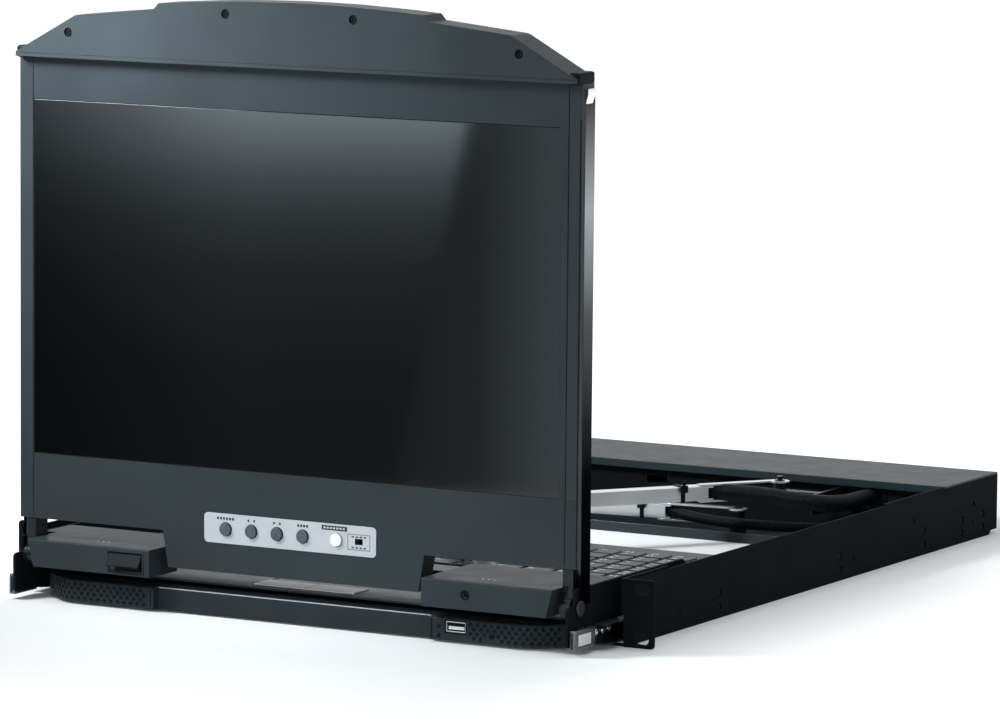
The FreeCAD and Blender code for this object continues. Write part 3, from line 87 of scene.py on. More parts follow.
# %% Load the CAD frame
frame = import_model()
NODES = frame["nodes"]
JOINTS = {joint["name"]: joint for joint in frame["record"]["behaviour"]["joints"]}
cad_box = [list(corner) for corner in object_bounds()]
MM = 0.001
FLOOR_Z = cad_box[0][2]
scene = bpy.context.scene
print("CAD box", cad_box)

# %% [markdown]
# ## Camera
# The drawer is seen from the right and a little above with a long lens, so its parallel edges stay
# almost parallel. The place is in the frame, and the turn is a heading, a tilt and a roll.

# %% Camera
scene.view_settings.view_transform = "Standard"
CAMERA_PLACE = Vector((1.944, -3.265, 0.617))
CAMERA_HEADING = 29.083
CAMERA_TILT = 90 - 7.051
CAMERA_ROLL = 0.529
camera = bpy.data.objects.new("camera", bpy.data.cameras.new("camera"))
scene.collection.objects.link(camera)
camera.matrix_world = (Matrix.Translation(CAMERA_PLACE)
                       @ Matrix.Rotation(math.radians(CAMERA_HEADING), 4, "Z")
                       @ Matrix.Rotation(math.radians(CAMERA_TILT), 4, "X")
                       @ Matrix.Rotation(math.radians(CAMERA_ROLL), 4, "Z"))
camera.data.sensor_width = 36.0
camera.data.lens = 211.94
camera.data.clip_end = 60.0
scene.camera = camera
print("camera at", tuple(CAMERA_PLACE))

# %% [markdown]
# ## Finishes
# Black equipment is never one flat colour: a powder coat is finely pebbled, moulded plastic has a
# spark-eroded texture and zinc plate has a brushed sheen. An image texture could do this, but a
# small node tree on Object coordinates needs no file and never stretches. A broad noise varies the
# colour and the roughness, and a fine one drives the bump.

# %% New material and noise
def new_material(name):
    """A material with its nodes, its links, its shader and its Object coordinates."""
    material = bpy.data.materials.new(name)
    material.use_nodes = True
    nodes, links = material.node_tree.nodes, material.node_tree.links
    place = nodes.new("ShaderNodeTexCoord").outputs["Object"]
    return material, nodes, links, nodes["Principled BSDF"], place


def add_noise(nodes, links, place, scale, detail=2.0):
    texture = nodes.new("ShaderNodeTexNoise")
    texture.inputs["Scale"].default_value = scale
    texture.inputs["Detail"].default_value = detail
    links.new(place, texture.inputs["Vector"])
    return texture.outputs["Fac"]


# %% Colour ramp
def add_ramp(nodes, links, factor, stops):
    """A colour ramp through (position, colour) stops."""
    ramp = nodes.new("ShaderNodeValToRGB")
    elements = ramp.color_ramp.elements
    for element, (position, colour) in ((elements[0], stops[0]), (elements[1], stops[-1])):
        element.position = position
        element.color = colour
    for position, colour in stops[1:-1]:
        elements.new(position).color = colour
    links.new(factor, ramp.inputs["Fac"])
    return ramp.outputs["Color"]


# %% Bump and range
def add_bump(nodes, links, height, strength, distance=0.2 * MM):
    bump = nodes.new("ShaderNodeBump")
    bump.inputs["Strength"].default_value = strength
    bump.inputs["Distance"].default_value = distance
    links.new(height, bump.inputs["Height"])
    return bump.outputs["Normal"]


def add_range(nodes, links, value, low, high):
    """Stretch a value of 0 to 1 over another range."""
    stretch = nodes.new("ShaderNodeMapRange")
    stretch.inputs["To Min"].default_value = low
    stretch.inputs["To Max"].default_value = high
    links.new(value, stretch.inputs["Value"])
    return stretch.outputs["Result"]


def tint(colour, factor):
    return tuple(channel * factor for channel in colour) + (1.0,)


# %% [markdown]
# One function makes every painted, moulded or plated finish. Wear shows as a second, coarser noise
# that rubs a few spots smoother. Metal is the same tree with its Metallic value at one, and a
# brushed grain is the fine noise stretched along the rolling direction.

# %% The finish maker
COOL_SHEEN = (0.76, 0.91, 1.0, 1.0)
BROAD_SCALE = 16.0
RUBBED_SCALE = 70.0


def make_finish(name, colour, roughness, specular=0.5, grain=1400.0, depth=0.2, mottle=0.10,
                metallic=0.0, brushed=None):
    material, nodes, links, shader, place = new_material(name)
    broad = add_noise(nodes, links, place, BROAD_SCALE, 4.0)
    links.new(add_ramp(nodes, links, broad, [(0.35, tint(colour, 1 - mottle)),
                                             (0.65, tint(colour, 1 + mottle))]),
              shader.inputs["Base Color"])
    rubbed = add_noise(nodes, links, place, RUBBED_SCALE, 5.0)
    links.new(add_range(nodes, links, rubbed, roughness * 0.8, min(1.0, roughness * 1.2)),
              shader.inputs["Roughness"])
    if brushed:
        mapping = nodes.new("ShaderNodeMapping")
        mapping.inputs["Scale"].default_value = brushed
        links.new(place, mapping.inputs["Vector"])
        place = mapping.outputs["Vector"]
    fine = add_noise(nodes, links, place, grain)
    links.new(add_bump(nodes, links, fine, depth), shader.inputs["Normal"])
    shader.inputs["Metallic"].default_value = metallic
    shader.inputs["Specular IOR Level"].default_value = specular
    if not metallic:
        shader.inputs["Specular Tint"].default_value = COOL_SHEEN
    return material


# %% [markdown]
# ## Paint
# The folded sheets share one kind of powder coat. One material could do for all of them, but the
# walls are duller than the cover and the deck, and the pods are a shade lighter, so each gets its
# own colour and gloss. The cover's lighter, bluer tone is partly a painted sheen of the light its
# top reflects. The small brackets are in smooth gloss paint.

# %% Painted sheet
wall_coat = make_finish("black_powder_coat", (0.0068, 0.0086, 0.0100), 0.55, 0.01,
                        depth=0.3)
# The cover's lighter, bluer tone is partly a painted sheen.
cover_coat_painted_sheen = make_finish("cover_powder_coat_painted_sheen", (0.014, 0.021, 0.025), 0.42, 0.17,
                         depth=0.3)
pod_coat = make_finish("pod_powder_coat", (0.028, 0.035, 0.040), 0.42, 0.07,
                       depth=0.3)
deck_coat = make_finish("deck_powder_coat", (0.015, 0.020, 0.023), 0.42, 0.36,
                        depth=0.3)
back_coat = make_finish("display_back_paint", (0.014, 0.017, 0.019), 0.42, 0.25,
                        depth=0.25)
gloss_black = make_finish("gloss_black_paint", (0.005, 0.006, 0.007), 0.20, 0.35,
                          depth=0.1)

# %% [markdown]
# ## Plastic
# Moulded plastic takes its pebbled surface from the mould, so its grain is finer than that of
# paint. The scoop's edge and the pits are the same plastic as the moulding, with a painted
# highlight on the edge and a painted shade in the pits, where little light comes in. Handle, bezel
# and keys differ a little in tone, as parts from different moulds do.

# %% Black plastic
moulding = make_finish("moulded_black_plastic", (0.020, 0.025, 0.029), 0.40, 0.07,
                       grain=1700.0, depth=0.3)
# Pale plastic that paints a highlight on the scoop's edge.
edge_painted_highlight = make_finish("painted_highlight_edge_plastic", (0.30, 0.34, 0.36), 0.25, 0.5)
bezel_plastic = make_finish("display_bezel_plastic", (0.026, 0.032, 0.036), 0.36,
                            0.12, grain=1700.0, depth=0.3)
handle_plastic = make_finish("handle_plastic", (0.037, 0.045, 0.050), 0.40, 0.05,
                             grain=1700.0, depth=0.35)
dark_plastic = make_finish("dark_plastic", (0.005, 0.006, 0.007), 0.45, 0.05)
# Dark plastic for the insides of the pits: painted shade.
pit_painted_shade_plastic = make_finish("shaded_pit_plastic", (0.009, 0.011, 0.013), 0.45, 0.05)
# %% Keys and buttons
key_plastic = make_finish("keycap_plastic", (0.014, 0.018, 0.021), 0.42, 0.40,
                          grain=1900.0, depth=0.25)
button_plastic = make_finish("grey_button_plastic", (0.060, 0.068, 0.075), 0.28)
white_plastic = make_finish("white_plastic", (0.80, 0.81, 0.82), 0.35,
                            mottle=0.02)
silver_plastic = make_finish("silver_plastic", (0.62, 0.64, 0.66), 0.3,
                             mottle=0.03)
# %% Film and ink
label_film = make_finish("silver_label_film", (0.42, 0.44, 0.46), 0.42, 0.3,
                         depth=0.06, mottle=0.03)
label_ink = make_finish("label_ink", (0.020, 0.022, 0.025), 0.5, 0.2)
legend_ink = make_finish("legend_ink", (0.85, 0.86, 0.87), 0.5, 0.3, mottle=0.02)

# %% [markdown]
# ## Metal
# Zinc plate is brushed along each part, so its grain is the fine noise stretched in one direction.
# Plate that lies in the shade of a slide gets a darker tone, which is painted shade; duller plate
# is a little darker, and screws and sockets are the brightest.

# %% Plated and bare metal
zinc = make_finish("zinc_plated_steel", (0.68, 0.70, 0.72), 0.30, grain=240.0,
                   depth=0.10, mottle=0.07, metallic=1.0, brushed=(1, 1, 7))
# A darker zinc tone: painted shade of the slides.
zinc_painted_shade = make_finish("zinc_painted_shade", (0.055, 0.060, 0.065), 0.35, grain=240.0,
                        depth=0.10, mottle=0.12, metallic=1.0, brushed=(6, 1, 1))
dull_zinc = make_finish("dull_zinc", (0.20, 0.21, 0.22), 0.45, grain=240.0,
                        depth=0.10, mottle=0.12, metallic=1.0, brushed=(6, 1, 1))
bright_steel = make_finish("bright_steel", (0.72, 0.73, 0.75), 0.16, grain=300.0,
                           depth=0.05, mottle=0.04, metallic=1.0)
end_block_metal = make_finish("end_block_metal", (0.15, 0.16, 0.17), 0.28,
                              grain=300.0, depth=0.05, mottle=0.04, metallic=1.0)
bare_aluminium = make_finish("bare_aluminium", (0.52, 0.53, 0.54), 0.35, grain=260.0,
                             depth=0.12, metallic=1.0, brushed=(7, 1, 1))
# %% Board, sleeve and module
circuit_board = make_finish("circuit_board", (0.01, 0.06, 0.03), 0.4)
sleeve_braid = make_finish("sleeve_braid", (0.003, 0.004, 0.005), 0.45, 0.08,
                           grain=900.0, depth=0.5)
module_case = make_finish("module_case", (0.10, 0.10, 0.11), 0.5)

# %% [markdown]
# ## Modelling helpers
# Each new piece starts as a primitive at its size and place, is shaped in edit mode and is closed
# by modifiers that are applied. Its place is then moved into its mesh, so that every object sits
# at the origin, as the CAD nodes do. An operator acts on everything that is selected, so each
# helper starts with nothing selected.

# %% Selection
def deselect():
    if bpy.context.object and bpy.context.object.mode != "OBJECT":
        bpy.ops.object.mode_set(mode="OBJECT")
    bpy.ops.object.select_all(action="DESELECT")


def activate(*items):
    deselect()
    for item in items:
        item.select_set(True)
    bpy.context.view_layer.objects.active = items[0]


# %% Modifiers, places and joining
def apply_modifier(item, kind, **settings):
    activate(item)
    modifier = item.modifiers.new(kind.lower(), kind)
    for name, value in settings.items():
        setattr(modifier, name, value)
    bpy.ops.object.modifier_apply(modifier=modifier.name)


def settle(item):
    """Move the object's place, turn and scale into its mesh."""
    activate(item)
    bpy.ops.object.transform_apply(location=True, rotation=True, scale=True)
    return item


def joined(name, items):
    activate(*items)
    if len(items) > 1:
        bpy.ops.object.join()
    item = bpy.context.object
    item.name = name
    return item


# %% Edges, shading and cutting
def soften(item, width, segments=2, angle=32.0):
    """Round every edge that is sharper than the angle; the width is in millimetres."""
    apply_modifier(item, "BEVEL", width=width * MM, segments=segments, limit_method="ANGLE",
                   angle_limit=math.radians(angle), use_clamp_overlap=True,
                   miter_outer="MITER_ARC")
    return item


def shade_evenly(item, angle=35.0):
    """Smooth the curved faces and weight the normals, so that large flat faces stay flat."""
    activate(item)
    bpy.ops.object.shade_smooth_by_angle(angle=math.radians(angle))
    apply_modifier(item, "WEIGHTED_NORMAL", keep_sharp=True)
    return item


def combine(item, tool, operation):
    """Cut the tool away from the item, or add it, and remove the tool."""
    apply_modifier(item, "BOOLEAN", object=tool, operation=operation, solver="EXACT")
    bpy.data.objects.remove(tool)
    return item


# %% Block and post, with sizes in millimetres
TURN_TO = {"x": (0, math.pi / 2, 0), "y": (math.pi / 2, 0, 0), "z": (0, 0, 0)}


def cuboid(low, high, edge=0.0):
    """A block between two corners, with rounded edges if a width is given."""
    centre = [(a + b) / 2 * MM for a, b in zip(low, high)]
    size = [abs(b - a) * MM for a, b in zip(low, high)]
    deselect()
    bpy.ops.mesh.primitive_cube_add(size=1, location=centre, scale=size)
    item = settle(bpy.context.object)
    return soften(item, edge) if edge else item


def disc(axis, centre, radius, length, sides=32, edge=0.0):
    """A round, square or hexagonal post along an axis, centred on a point."""
    deselect()
    bpy.ops.mesh.primitive_cylinder_add(vertices=sides, radius=radius * MM, depth=length * MM,
                                        location=[c * MM for c in centre], rotation=TURN_TO[axis])
    item = settle(bpy.context.object)
    return soften(item, edge) if edge else item


# %% Bead
def ring(axis, centre, radius, thickness, sides=40):
    """A thin round bead round an axis."""
    deselect()
    bpy.ops.mesh.primitive_torus_add(major_radius=radius * MM, minor_radius=thickness * MM,
                                     major_segments=sides, minor_segments=10,
                                     location=[c * MM for c in centre], rotation=TURN_TO[axis])
    return settle(bpy.context.object)


# %% Corners of a node, and dressing a piece
def corners(name):
    """The lowest and highest corners of a CAD node, in millimetres."""
    low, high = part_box(name)
    return Vector(low) / MM, Vector(high) / MM


def dress(item, name, material, body, even=True):
    """Name a new piece, give it its finish and let it ride on its body."""
    item.name = name
    if not item.data.materials:
        item.data.materials.append(material)
    if even:
        shade_evenly(item)
    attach(item, body)
    return item


# %% [markdown]
# ## Soft edges
# A folded sheet or a moulding never has a knife edge, and it is the thin highlight along each edge
# that makes it read as real. The edges could be faked in the shader, but a real bevel is part of
# the mesh. A copy of the CAD mesh is welded, its flat faces are dissolved, and a small bevel goes
# round every sharp edge. The copy then stands for the CAD node.

# %% Welded copy of a CAD node
def welded_copy(name):
    """A copy of a CAD node with its loose triangles merged into whole faces."""
    item = bpy.data.objects.new(name + "_finished", NODES[name].data.copy())
    item.data.materials.clear()
    scene.collection.objects.link(item)
    activate(item)
    bpy.ops.object.mode_set(mode="EDIT")
    bpy.ops.mesh.select_all(action="SELECT")
    bpy.ops.mesh.remove_doubles(threshold=0.001 * MM)
    bpy.ops.mesh.dissolve_limited(angle_limit=math.radians(1.0))
    bpy.ops.object.mode_set(mode="OBJECT")
    return item


# %% [markdown]
# A flat face with a window in it is hard to split into triangles: a wrong split shows as a black
# patch. Triangles could be drawn by hand, but it is quicker to divide such a face along a plane
# through its window, because each half then has a plain outline.

# %% Cuts across a window
def cut_across(item, axis, places):
    """Divide the faces along planes across an axis (0, 1 or 2), at places in millimetres."""
    activate(item)
    bpy.ops.object.mode_set(mode="EDIT")
    for place in places:
        point, normal = Vector(), Vector()
        point[axis], normal[axis] = place * MM, 1
        bpy.ops.mesh.select_all(action="SELECT")
        bpy.ops.mesh.bisect(plane_co=point, plane_no=normal)
    bpy.ops.object.mode_set(mode="OBJECT")
    return item


# %% A finished copy in place of its node
def stand_in(item, name, material):
    """Let a finished copy replace its CAD node."""
    dress(item, name + "_finished", material, NODES[name]["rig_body"])
    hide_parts(name)
    return item


def rounded(name, material, width, segments=2, cuts=()):
    """Weld, cut, soften and finish a copy of a CAD node, all in one step."""
    item = welded_copy(name)
    for axis, places in cuts:
        cut_across(item, axis, places)
    return stand_in(soften(item, width, segments), name, material)


print("helpers ready for", len(NODES), "nodes")

# %% [markdown]
# ## Socket screws
# Small screws hold the display's back, the handle, the slides and the back panel. A bought model
# could be used, but a screw head is only a short post with rounded edges and a hexagon cut into
# its face, so one helper makes them all.

# %% Head with a hexagon socket
SOCKET_DEPTH = 1.0


def socket_screw(axis, centre, radius, length, edge, socket, offset, sides=24):
    """A screw head; its socket is cut at an offset from the centre along the axis."""
    head = disc(axis, centre, radius, length, sides=sides, edge=edge)
    place = list(centre)
    place["xyz".index(axis)] += offset
    return combine(head, disc(axis, place, socket, SOCKET_DEPTH, sides=6), "DIFFERENCE")


print("socket", SOCKET_DEPTH, "mm long")

# %% [markdown]
# ## Chassis walls
# Each wall is a folded sheet, drilled in pairs for the slide screws, with a few round pips of the
# press tool. The holes are cut before the edges are rounded, so that each gets its own soft rim,
# and plugs fill the CAD model's plain row of holes first.

# %% Sizes of the wall and its holes
SIDES = {"left": -1, "right": 1}
wall_low, wall_high = corners("side_wall_right")
WALL_SKIN = 1.5
CAD_SCREW_ROW = [62.0, 131.1, 312.7, 446.5]
CAD_ROW_HEIGHT = 10.25
PLUG_RADIUS = 3.2
PAIR_PLACES = [132.0, 313.0, 447.0, 510.0, 546.0]
PAIR_HEIGHTS = [7.3, 16.7]
SCREW_HOLE = {"radius": 3.0, "root": 1.7, "depth": 1.3}
PIP_PLACES = [(75.0, 12.0), (333.0, 12.5), (528.0, 12.5)]
PIP = {"radius": 2.2, "root": 1.4, "depth": 0.6}
CUT_HEIGHTS = [*PAIR_HEIGHTS, 12.2, 26.0]
print("wall", wall_low, wall_high)


# %% A countersunk hole
def countersink(sign, y, z, radius, root, depth):
    """A cone that narrows from the wall's face inwards, with a short run outside the face."""
    deselect()
    bpy.ops.mesh.primitive_cone_add(
        vertices=28, radius1=root * MM, radius2=(2 * radius - root) * MM, depth=2 * depth * MM,
        location=(sign * wall_high.x * MM, y * MM, z * MM), rotation=(0, sign * math.pi / 2, 0))
    return settle(bpy.context.object)


# %% Plug, drill and finish each wall
def drilled_wall(side, sign):
    name = f"side_wall_{side}"
    wall = welded_copy(name)
    middle = sign * (wall_high.x - WALL_SKIN / 2)
    row = wall_low.z + CAD_ROW_HEIGHT
    plugs = [disc("x", (middle, y, row), PLUG_RADIUS, WALL_SKIN) for y in CAD_SCREW_ROW]
    combine(wall, joined("plugs", plugs), "UNION")
    tail = cuboid((sign * (wall_high.x - WALL_SKIN), wall_high.y - 14, wall_low.z + 3),
                  (sign * wall_high.x, wall_high.y, wall_low.z + 16))
    combine(wall, tail, "UNION")
    holes = [countersink(sign, y, wall_low.z + z, **SCREW_HOLE)
             for y in PAIR_PLACES for z in PAIR_HEIGHTS]
    holes += [countersink(sign, y, wall_low.z + z, **PIP) for y, z in PIP_PLACES]
    combine(wall, joined("holes", holes), "DIFFERENCE")
    cut_across(wall, 2, [wall_low.z + height for height in CUT_HEIGHTS])
    return stand_in(soften(wall, 0.25), name, wall_coat)


for side, sign in SIDES.items():
    print(drilled_wall(side, sign).name)

# %% [markdown]
# The slide screws are hardly seen: small black heads deep in the holes, which stand for the CAD
# model's screws. Three flat rivets on each wall hold the rack ear.

# %% Screws in the holes
HEAD_DEPTH = 1.2
RIVET_PLACES = ((47.0, 29.0), (55.5, 30.0), (64.0, 31.0))
screw_heads = [disc("x", (sign * (wall_high.x - HEAD_DEPTH), y, wall_low.z + z), 1.6, 0.5,
                    sides=20, edge=0.15)
               for sign in SIDES.values() for y in PAIR_PLACES for z in PAIR_HEIGHTS]
heads = dress(joined("wall_screw_heads", screw_heads), "wall_screw_heads", dark_plastic, "chassis")
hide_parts("rail_screws")
rivets = [disc("x", (sign * (wall_high.x + 0.05), y, wall_low.z + z), 0.9, 0.3, sides=16, edge=0.1)
          for sign in SIDES.values() for y, z in RIVET_PLACES]
dress(joined("ear_rivets", rivets), "ear_rivets", wall_coat, "chassis")
print(len(screw_heads), "screw heads and", len(rivets), "rivets")

# %% [markdown]
# ## Pieces that keep their CAD shape
# Most pieces need only soft edges and a finish. Each could have a cell of its own, but they differ
# only in finish and edge width, so these stand in a table and a loop makes them all.

# %% Sheets, moulded pieces, keys and buttons
SOFT_NODES = {
    "rack_ear_left": (wall_coat, 0.4), "rack_ear_right": (wall_coat, 0.4),
    "rear_pan": (deck_coat, 0.3), "rear_cover": (cover_coat_painted_sheen, 0.4), "bulkhead": (wall_coat, 0.3),
    "side_plate_left": (wall_coat, 0.4), "side_plate_right": (wall_coat, 0.4),
    "hinge_pod_left": (pod_coat, 0.4), "carriage_beam": (deck_coat, 0.4),
    "hinge_brackets": (gloss_black, 0.5), "pod_flap": (dark_plastic, 0.3),
    "keyboard_tray": (wall_coat, 0.3), "keyboard_deck": (deck_coat, 0.3),
    "touchpad": (key_plastic, 0.4), "touchpad_button_left": (silver_plastic, 0.5),
    "touchpad_button_right": (silver_plastic, 0.5),
    "function_keys": (key_plastic, 0.35), "number_keys": (key_plastic, 0.35),
    "letter_keys": (key_plastic, 0.35), "space_bar": (key_plastic, 0.35),
    "number_pad_keys": (key_plastic, 0.35),
    "menu_button": (button_plastic, 0.7), "minus_button": (button_plastic, 0.7),
    "plus_button": (button_plastic, 0.7), "select_button": (button_plastic, 0.7),
    "power_button": (white_plastic, 0.7), "recovery_switch": (dark_plastic, 0.2),
}
print(len(SOFT_NODES), "sheets, mouldings and keys")

# %% Slides, arms, sockets and the pieces inside
SOFT_NODES |= {
    "lcd_outer_rails": (zinc, 0.2), "keyboard_outer_rails": (zinc, 0.2),
    "keyboard_middle_rails": (zinc, 0.2), "keyboard_runners": (zinc, 0.2),
    "lcd_runners": (zinc_painted_shade, 0.2), "hinge_pins": (zinc_painted_shade, 0.4),
    "side_catches": (bright_steel, 0.4),
    "lcd_arm_rear_link": (zinc, 0.25), "lcd_arm_front_link": (zinc, 0.25),
    "keyboard_arm_rear_link": (zinc, 0.25), "keyboard_arm_front_link": (zinc, 0.25),
    "arm_brackets": (gloss_black, 0.25), "usb_socket": (bright_steel, 0.15),
    "power_inlet": (dark_plastic, 0.5), "power_rocker": (dark_plastic, 0.5),
    "signal_ports": (bright_steel, 0.2), "power_supply": (bare_aluminium, 0.8),
    "controller_board": (circuit_board, 0.2), "display_module": (module_case, 0.5),
}
print(len(SOFT_NODES), "nodes in the table")

# %% Give each node its edges and finish
# Three nodes have windows, so their faces are divided across an axis at these places.
WINDOW_CUTS = {"keyboard_deck": [(0, (-6.0, 60.0, 142.0)), (1, (27.0, 150.0))],
               "rear_pan": [(2, (-4.5,))], "bulkhead": [(2, (-10.0, 10.0))]}
for node_name, (node_finish, edge_width) in SOFT_NODES.items():
    # A small keycap is round enough with a single segment.
    edge_segments = 1 if "keys" in node_name else 2
    rounded(node_name, node_finish, edge_width, edge_segments, WINDOW_CUTS.get(node_name, ()))
print(len(SOFT_NODES), "nodes finished")

# %% [markdown]
# ## Display back
# The back of the panel is what the user sees when the display is folded away. It gets the shallow
# pressed field that stiffens such a lid, and the six screws that hold it to the bezel.

# %% Back shell with its pressed field
FIELD_HALF = 165
FIELD_DEPTH = 0.7
FIELD_CUT = 200.0
shell_low, shell_high = corners("lcd_back_shell")
back_shell = welded_copy("lcd_back_shell")
field = cuboid((-FIELD_HALF, shell_high.y - FIELD_DEPTH, shell_high.z - 255),
               (FIELD_HALF, shell_high.y + 5, shell_high.z - 60), edge=6.0)
combine(back_shell, field, "DIFFERENCE")
cut_across(back_shell, 0, (0.0,))
cut_across(back_shell, 2, (FIELD_CUT,))
stand_in(soften(back_shell, 0.4), "lcd_back_shell", back_coat)
print("back shell", shell_low, shell_high)

# %% Screws of the back shell
shell_screws = [socket_screw("y", (x, shell_high.y + 0.3, z), 2.6, 1.0, 0.35,
                             socket=1.3, offset=0.6)
                for x in (-198, 0, 198) for z in (shell_low.z + 34, shell_high.z - 12)]
dress(joined("shell_screws", shell_screws), "shell_screws", dull_zinc, "lcd_panel")
print(len(shell_screws), "shell screws")

# %% [markdown]
# ## Side trim
# A thin metal strip covers each side of the panel. It catches the light in its upper half and is
# nearly black at the foot. A lamp could make that fade, but it would fade the whole panel, so the
# fade is a painted highlight and shade: the strip's colour and polish run with its height. Fine
# lines across it are noise, squeezed.

# %% Height along the strip and its brushed lines
side_metal_painted_light, nodes, links, shader, place = new_material("brushed_side_metal")
BRUSHED = (1, 40, 1)
mapping = nodes.new("ShaderNodeMapping")
mapping.inputs["Scale"].default_value = BRUSHED
links.new(place, mapping.inputs["Vector"])
brushed_lines = add_noise(nodes, links, mapping.outputs["Vector"], 60.0, 3.0)
split = nodes.new("ShaderNodeSeparateXYZ")
links.new(place, split.inputs["Vector"])
height = nodes.new("ShaderNodeMapRange")
height.inputs["From Min"].default_value = shell_low.z * MM
height.inputs["From Max"].default_value = shell_high.z * MM
links.new(split.outputs["Z"], height.inputs["Value"])
print("strip from", shell_low.z, "to", shell_high.z)

# %% Painted highlight and shade: colour and polish of the strip
# A painted highlight in the upper half and a painted shade at the foot.
PAINTED_LIGHT_STOPS = [(0.0, (0.001, 0.001, 0.002, 1)), (0.35, (0.005, 0.006, 0.007, 1)),
               (0.56, (0.048, 0.055, 0.060, 1)), (0.76, (0.31, 0.33, 0.35, 1)),
               (0.97, (0.006, 0.007, 0.008, 1))]
POLISH_STOPS = [(0.25, (0, 0, 0, 1)), (0.62, (1, 1, 1, 1))]
links.new(add_ramp(nodes, links, height.outputs["Result"], PAINTED_LIGHT_STOPS),
          shader.inputs["Base Color"])
links.new(add_ramp(nodes, links, height.outputs["Result"], POLISH_STOPS),
          shader.inputs["Metallic"])
shader.inputs["Specular IOR Level"].default_value = 0.0
links.new(add_range(nodes, links, brushed_lines, 0.32, 0.46), shader.inputs["Roughness"])
links.new(add_bump(nodes, links, brushed_lines, 0.12), shader.inputs["Normal"])
print(len(PAINTED_LIGHT_STOPS), "tones along the strip")

# %% Strips on the panel's two sides
trims = [cuboid((sign * (shell_high.x - 0.25), shell_low.y + 1.4, shell_low.z + 1.0),
                (sign * (shell_high.x + 0.15), shell_high.y - 0.8, shell_high.z - 3.5), edge=0.08)
         for sign in SIDES.values()]
dress(joined("panel_side_trim", trims), "panel_side_trim", side_metal_painted_light, "lcd_panel")
print(len(trims), "side strips")

# %% [markdown]
# ## Bezel and screen
# The bezel is one moulding with a seam beside each edge of the glass and a raised strip on its
# right. The seams are cut, because a drawn line would vanish at an angle. The panel is off, so the
# glass is a dark, glossy sheet that shows only what it mirrors.

# %% Bezel with its seams and right strip
SEAM_HALF = 0.25
bezel_low, bezel_high = corners("lcd_bezel")
glass_low, glass_high = corners("screen_glass")
bezel = welded_copy("lcd_bezel")
seams = [cuboid((x - SEAM_HALF, bezel_low.y - 1, bezel_low.z + 26),
                (x + SEAM_HALF, bezel_low.y + 0.5, bezel_high.z - 1))
         for x in (glass_low.x - 0.8, glass_high.x + 1.6)]
seams.append(cuboid((bezel_high.x - 1.5, bezel_low.y - 1, bezel_low.z - 1),
                    (bezel_high.x - 0.7, bezel_low.y + 0.9, bezel_high.z - 22)))
combine(bezel, joined("seams", seams), "DIFFERENCE")
stand_in(soften(bezel, 0.35), "lcd_bezel", bezel_plastic)
strip = cuboid((glass_high.x - 4.2, bezel_low.y - 0.35, glass_low.z - 38),
               (glass_high.x + 1.3, bezel_low.y, glass_high.z + 24), edge=0.15)
dress(strip, "bezel_strip", bezel_plastic, "lcd_panel")
print("bezel", bezel_low, bezel_high)

# %% Screen glass
screen_glass, nodes, links, shader, place = new_material("dark_screen")
GLASS_TONES = [(0.3, (0.0012, 0.0015, 0.0018, 1)), (0.7, (0.0018, 0.0022, 0.0025, 1))]
links.new(add_ramp(nodes, links, add_noise(nodes, links, place, 3.0), GLASS_TONES),
          shader.inputs["Base Color"])
links.new(add_range(nodes, links, add_noise(nodes, links, place, 40.0), 0.055, 0.075),
          shader.inputs["Roughness"])
shader.inputs["Specular IOR Level"].default_value = 0.5
rounded("screen_glass", screen_glass, 0.2)
print("glass", glass_low, glass_high)

# %% [markdown]
# The bezel's narrow right side is as glossy and dark as the screen, like a film that was laid on
# it.

# %% Film on the bezel's right side
side_film = cuboid((glass_high.x + 1.9, glass_low.y - 0.05, glass_low.z),
                   (bezel_high.x - 1.9, glass_low.y + 0.3, glass_high.z), edge=0.04)
dress(side_film, "bezel_side_film", screen_glass, "lcd_panel")
print("film", side_film.dimensions.x / MM, "mm wide")

# %% [markdown]
# ## Upper handle
# The handle is a wide pull with slanted ends. Four socket screws sit deep in its face, and each is
# a rounded post with a hexagon cut into it. A thin parting line runs where the two moulds met.

# %% Handle with its parting line
PARTING_LOW, PARTING_HIGH = 2.2, 2.6
handle_low, handle_high = corners("upper_handle")
handle = welded_copy("upper_handle")
parting_line = cuboid((handle_low.x - 1, handle_low.y - 1, handle_low.z + PARTING_LOW),
                      (handle_high.x + 1, handle_low.y + 0.3, handle_low.z + PARTING_HIGH))
combine(handle, parting_line, "DIFFERENCE")
stand_in(soften(handle, 0.8, 3), "upper_handle", handle_plastic)
print("handle", handle_low, handle_high)

# %% Screws of the handle
SCREW_PLACES = ((168.0, 17.0), (47.5, 33.7))
handle_screws = [socket_screw("y", (sign * x, handle_low.y + 1.2, handle_low.z + rise), 2.6, 1.0,
                              0.3, socket=1.4, offset=-0.6, sides=28)
                 for x, rise in SCREW_PLACES for sign in SIDES.values()]
dress(joined("handle_screws", handle_screws), "handle_screws", dark_plastic, "lcd_panel")
print(len(handle_screws), "handle screws")

# %% [markdown]
# A small dark cap closes each lower corner of the handle and darkens its end face: a painted
# shade. It is a plain block with well rounded edges that reaches past the handle's end.

# %% End caps of the handle, a painted shade
# Dark caps paint the shade on the handle's end faces.
end_shade_caps = [cuboid((sign * (handle_high.x - 7.0), handle_low.y + 2.0, handle_low.z - 1.0),
                   (sign * (handle_high.x + 0.8), handle_high.y - 0.2, handle_low.z + 7.0),
                   edge=1.6)
            for sign in SIDES.values()]
dress(joined("handle_end_caps", end_shade_caps), "handle_end_caps", dark_plastic, "lcd_panel")
print(len(end_shade_caps), "end caps")

# %% [markdown]
# ## Button label
# The silver plate round the buttons carries small printed marks. Printing is a film a few
# hundredths of a millimetre thick, so each mark is a very thin block that stands just proud of the
# plate. Plain signs stand here instead of words: rows of bars, pairs of triangles, a dark tag and
# an outlined field.

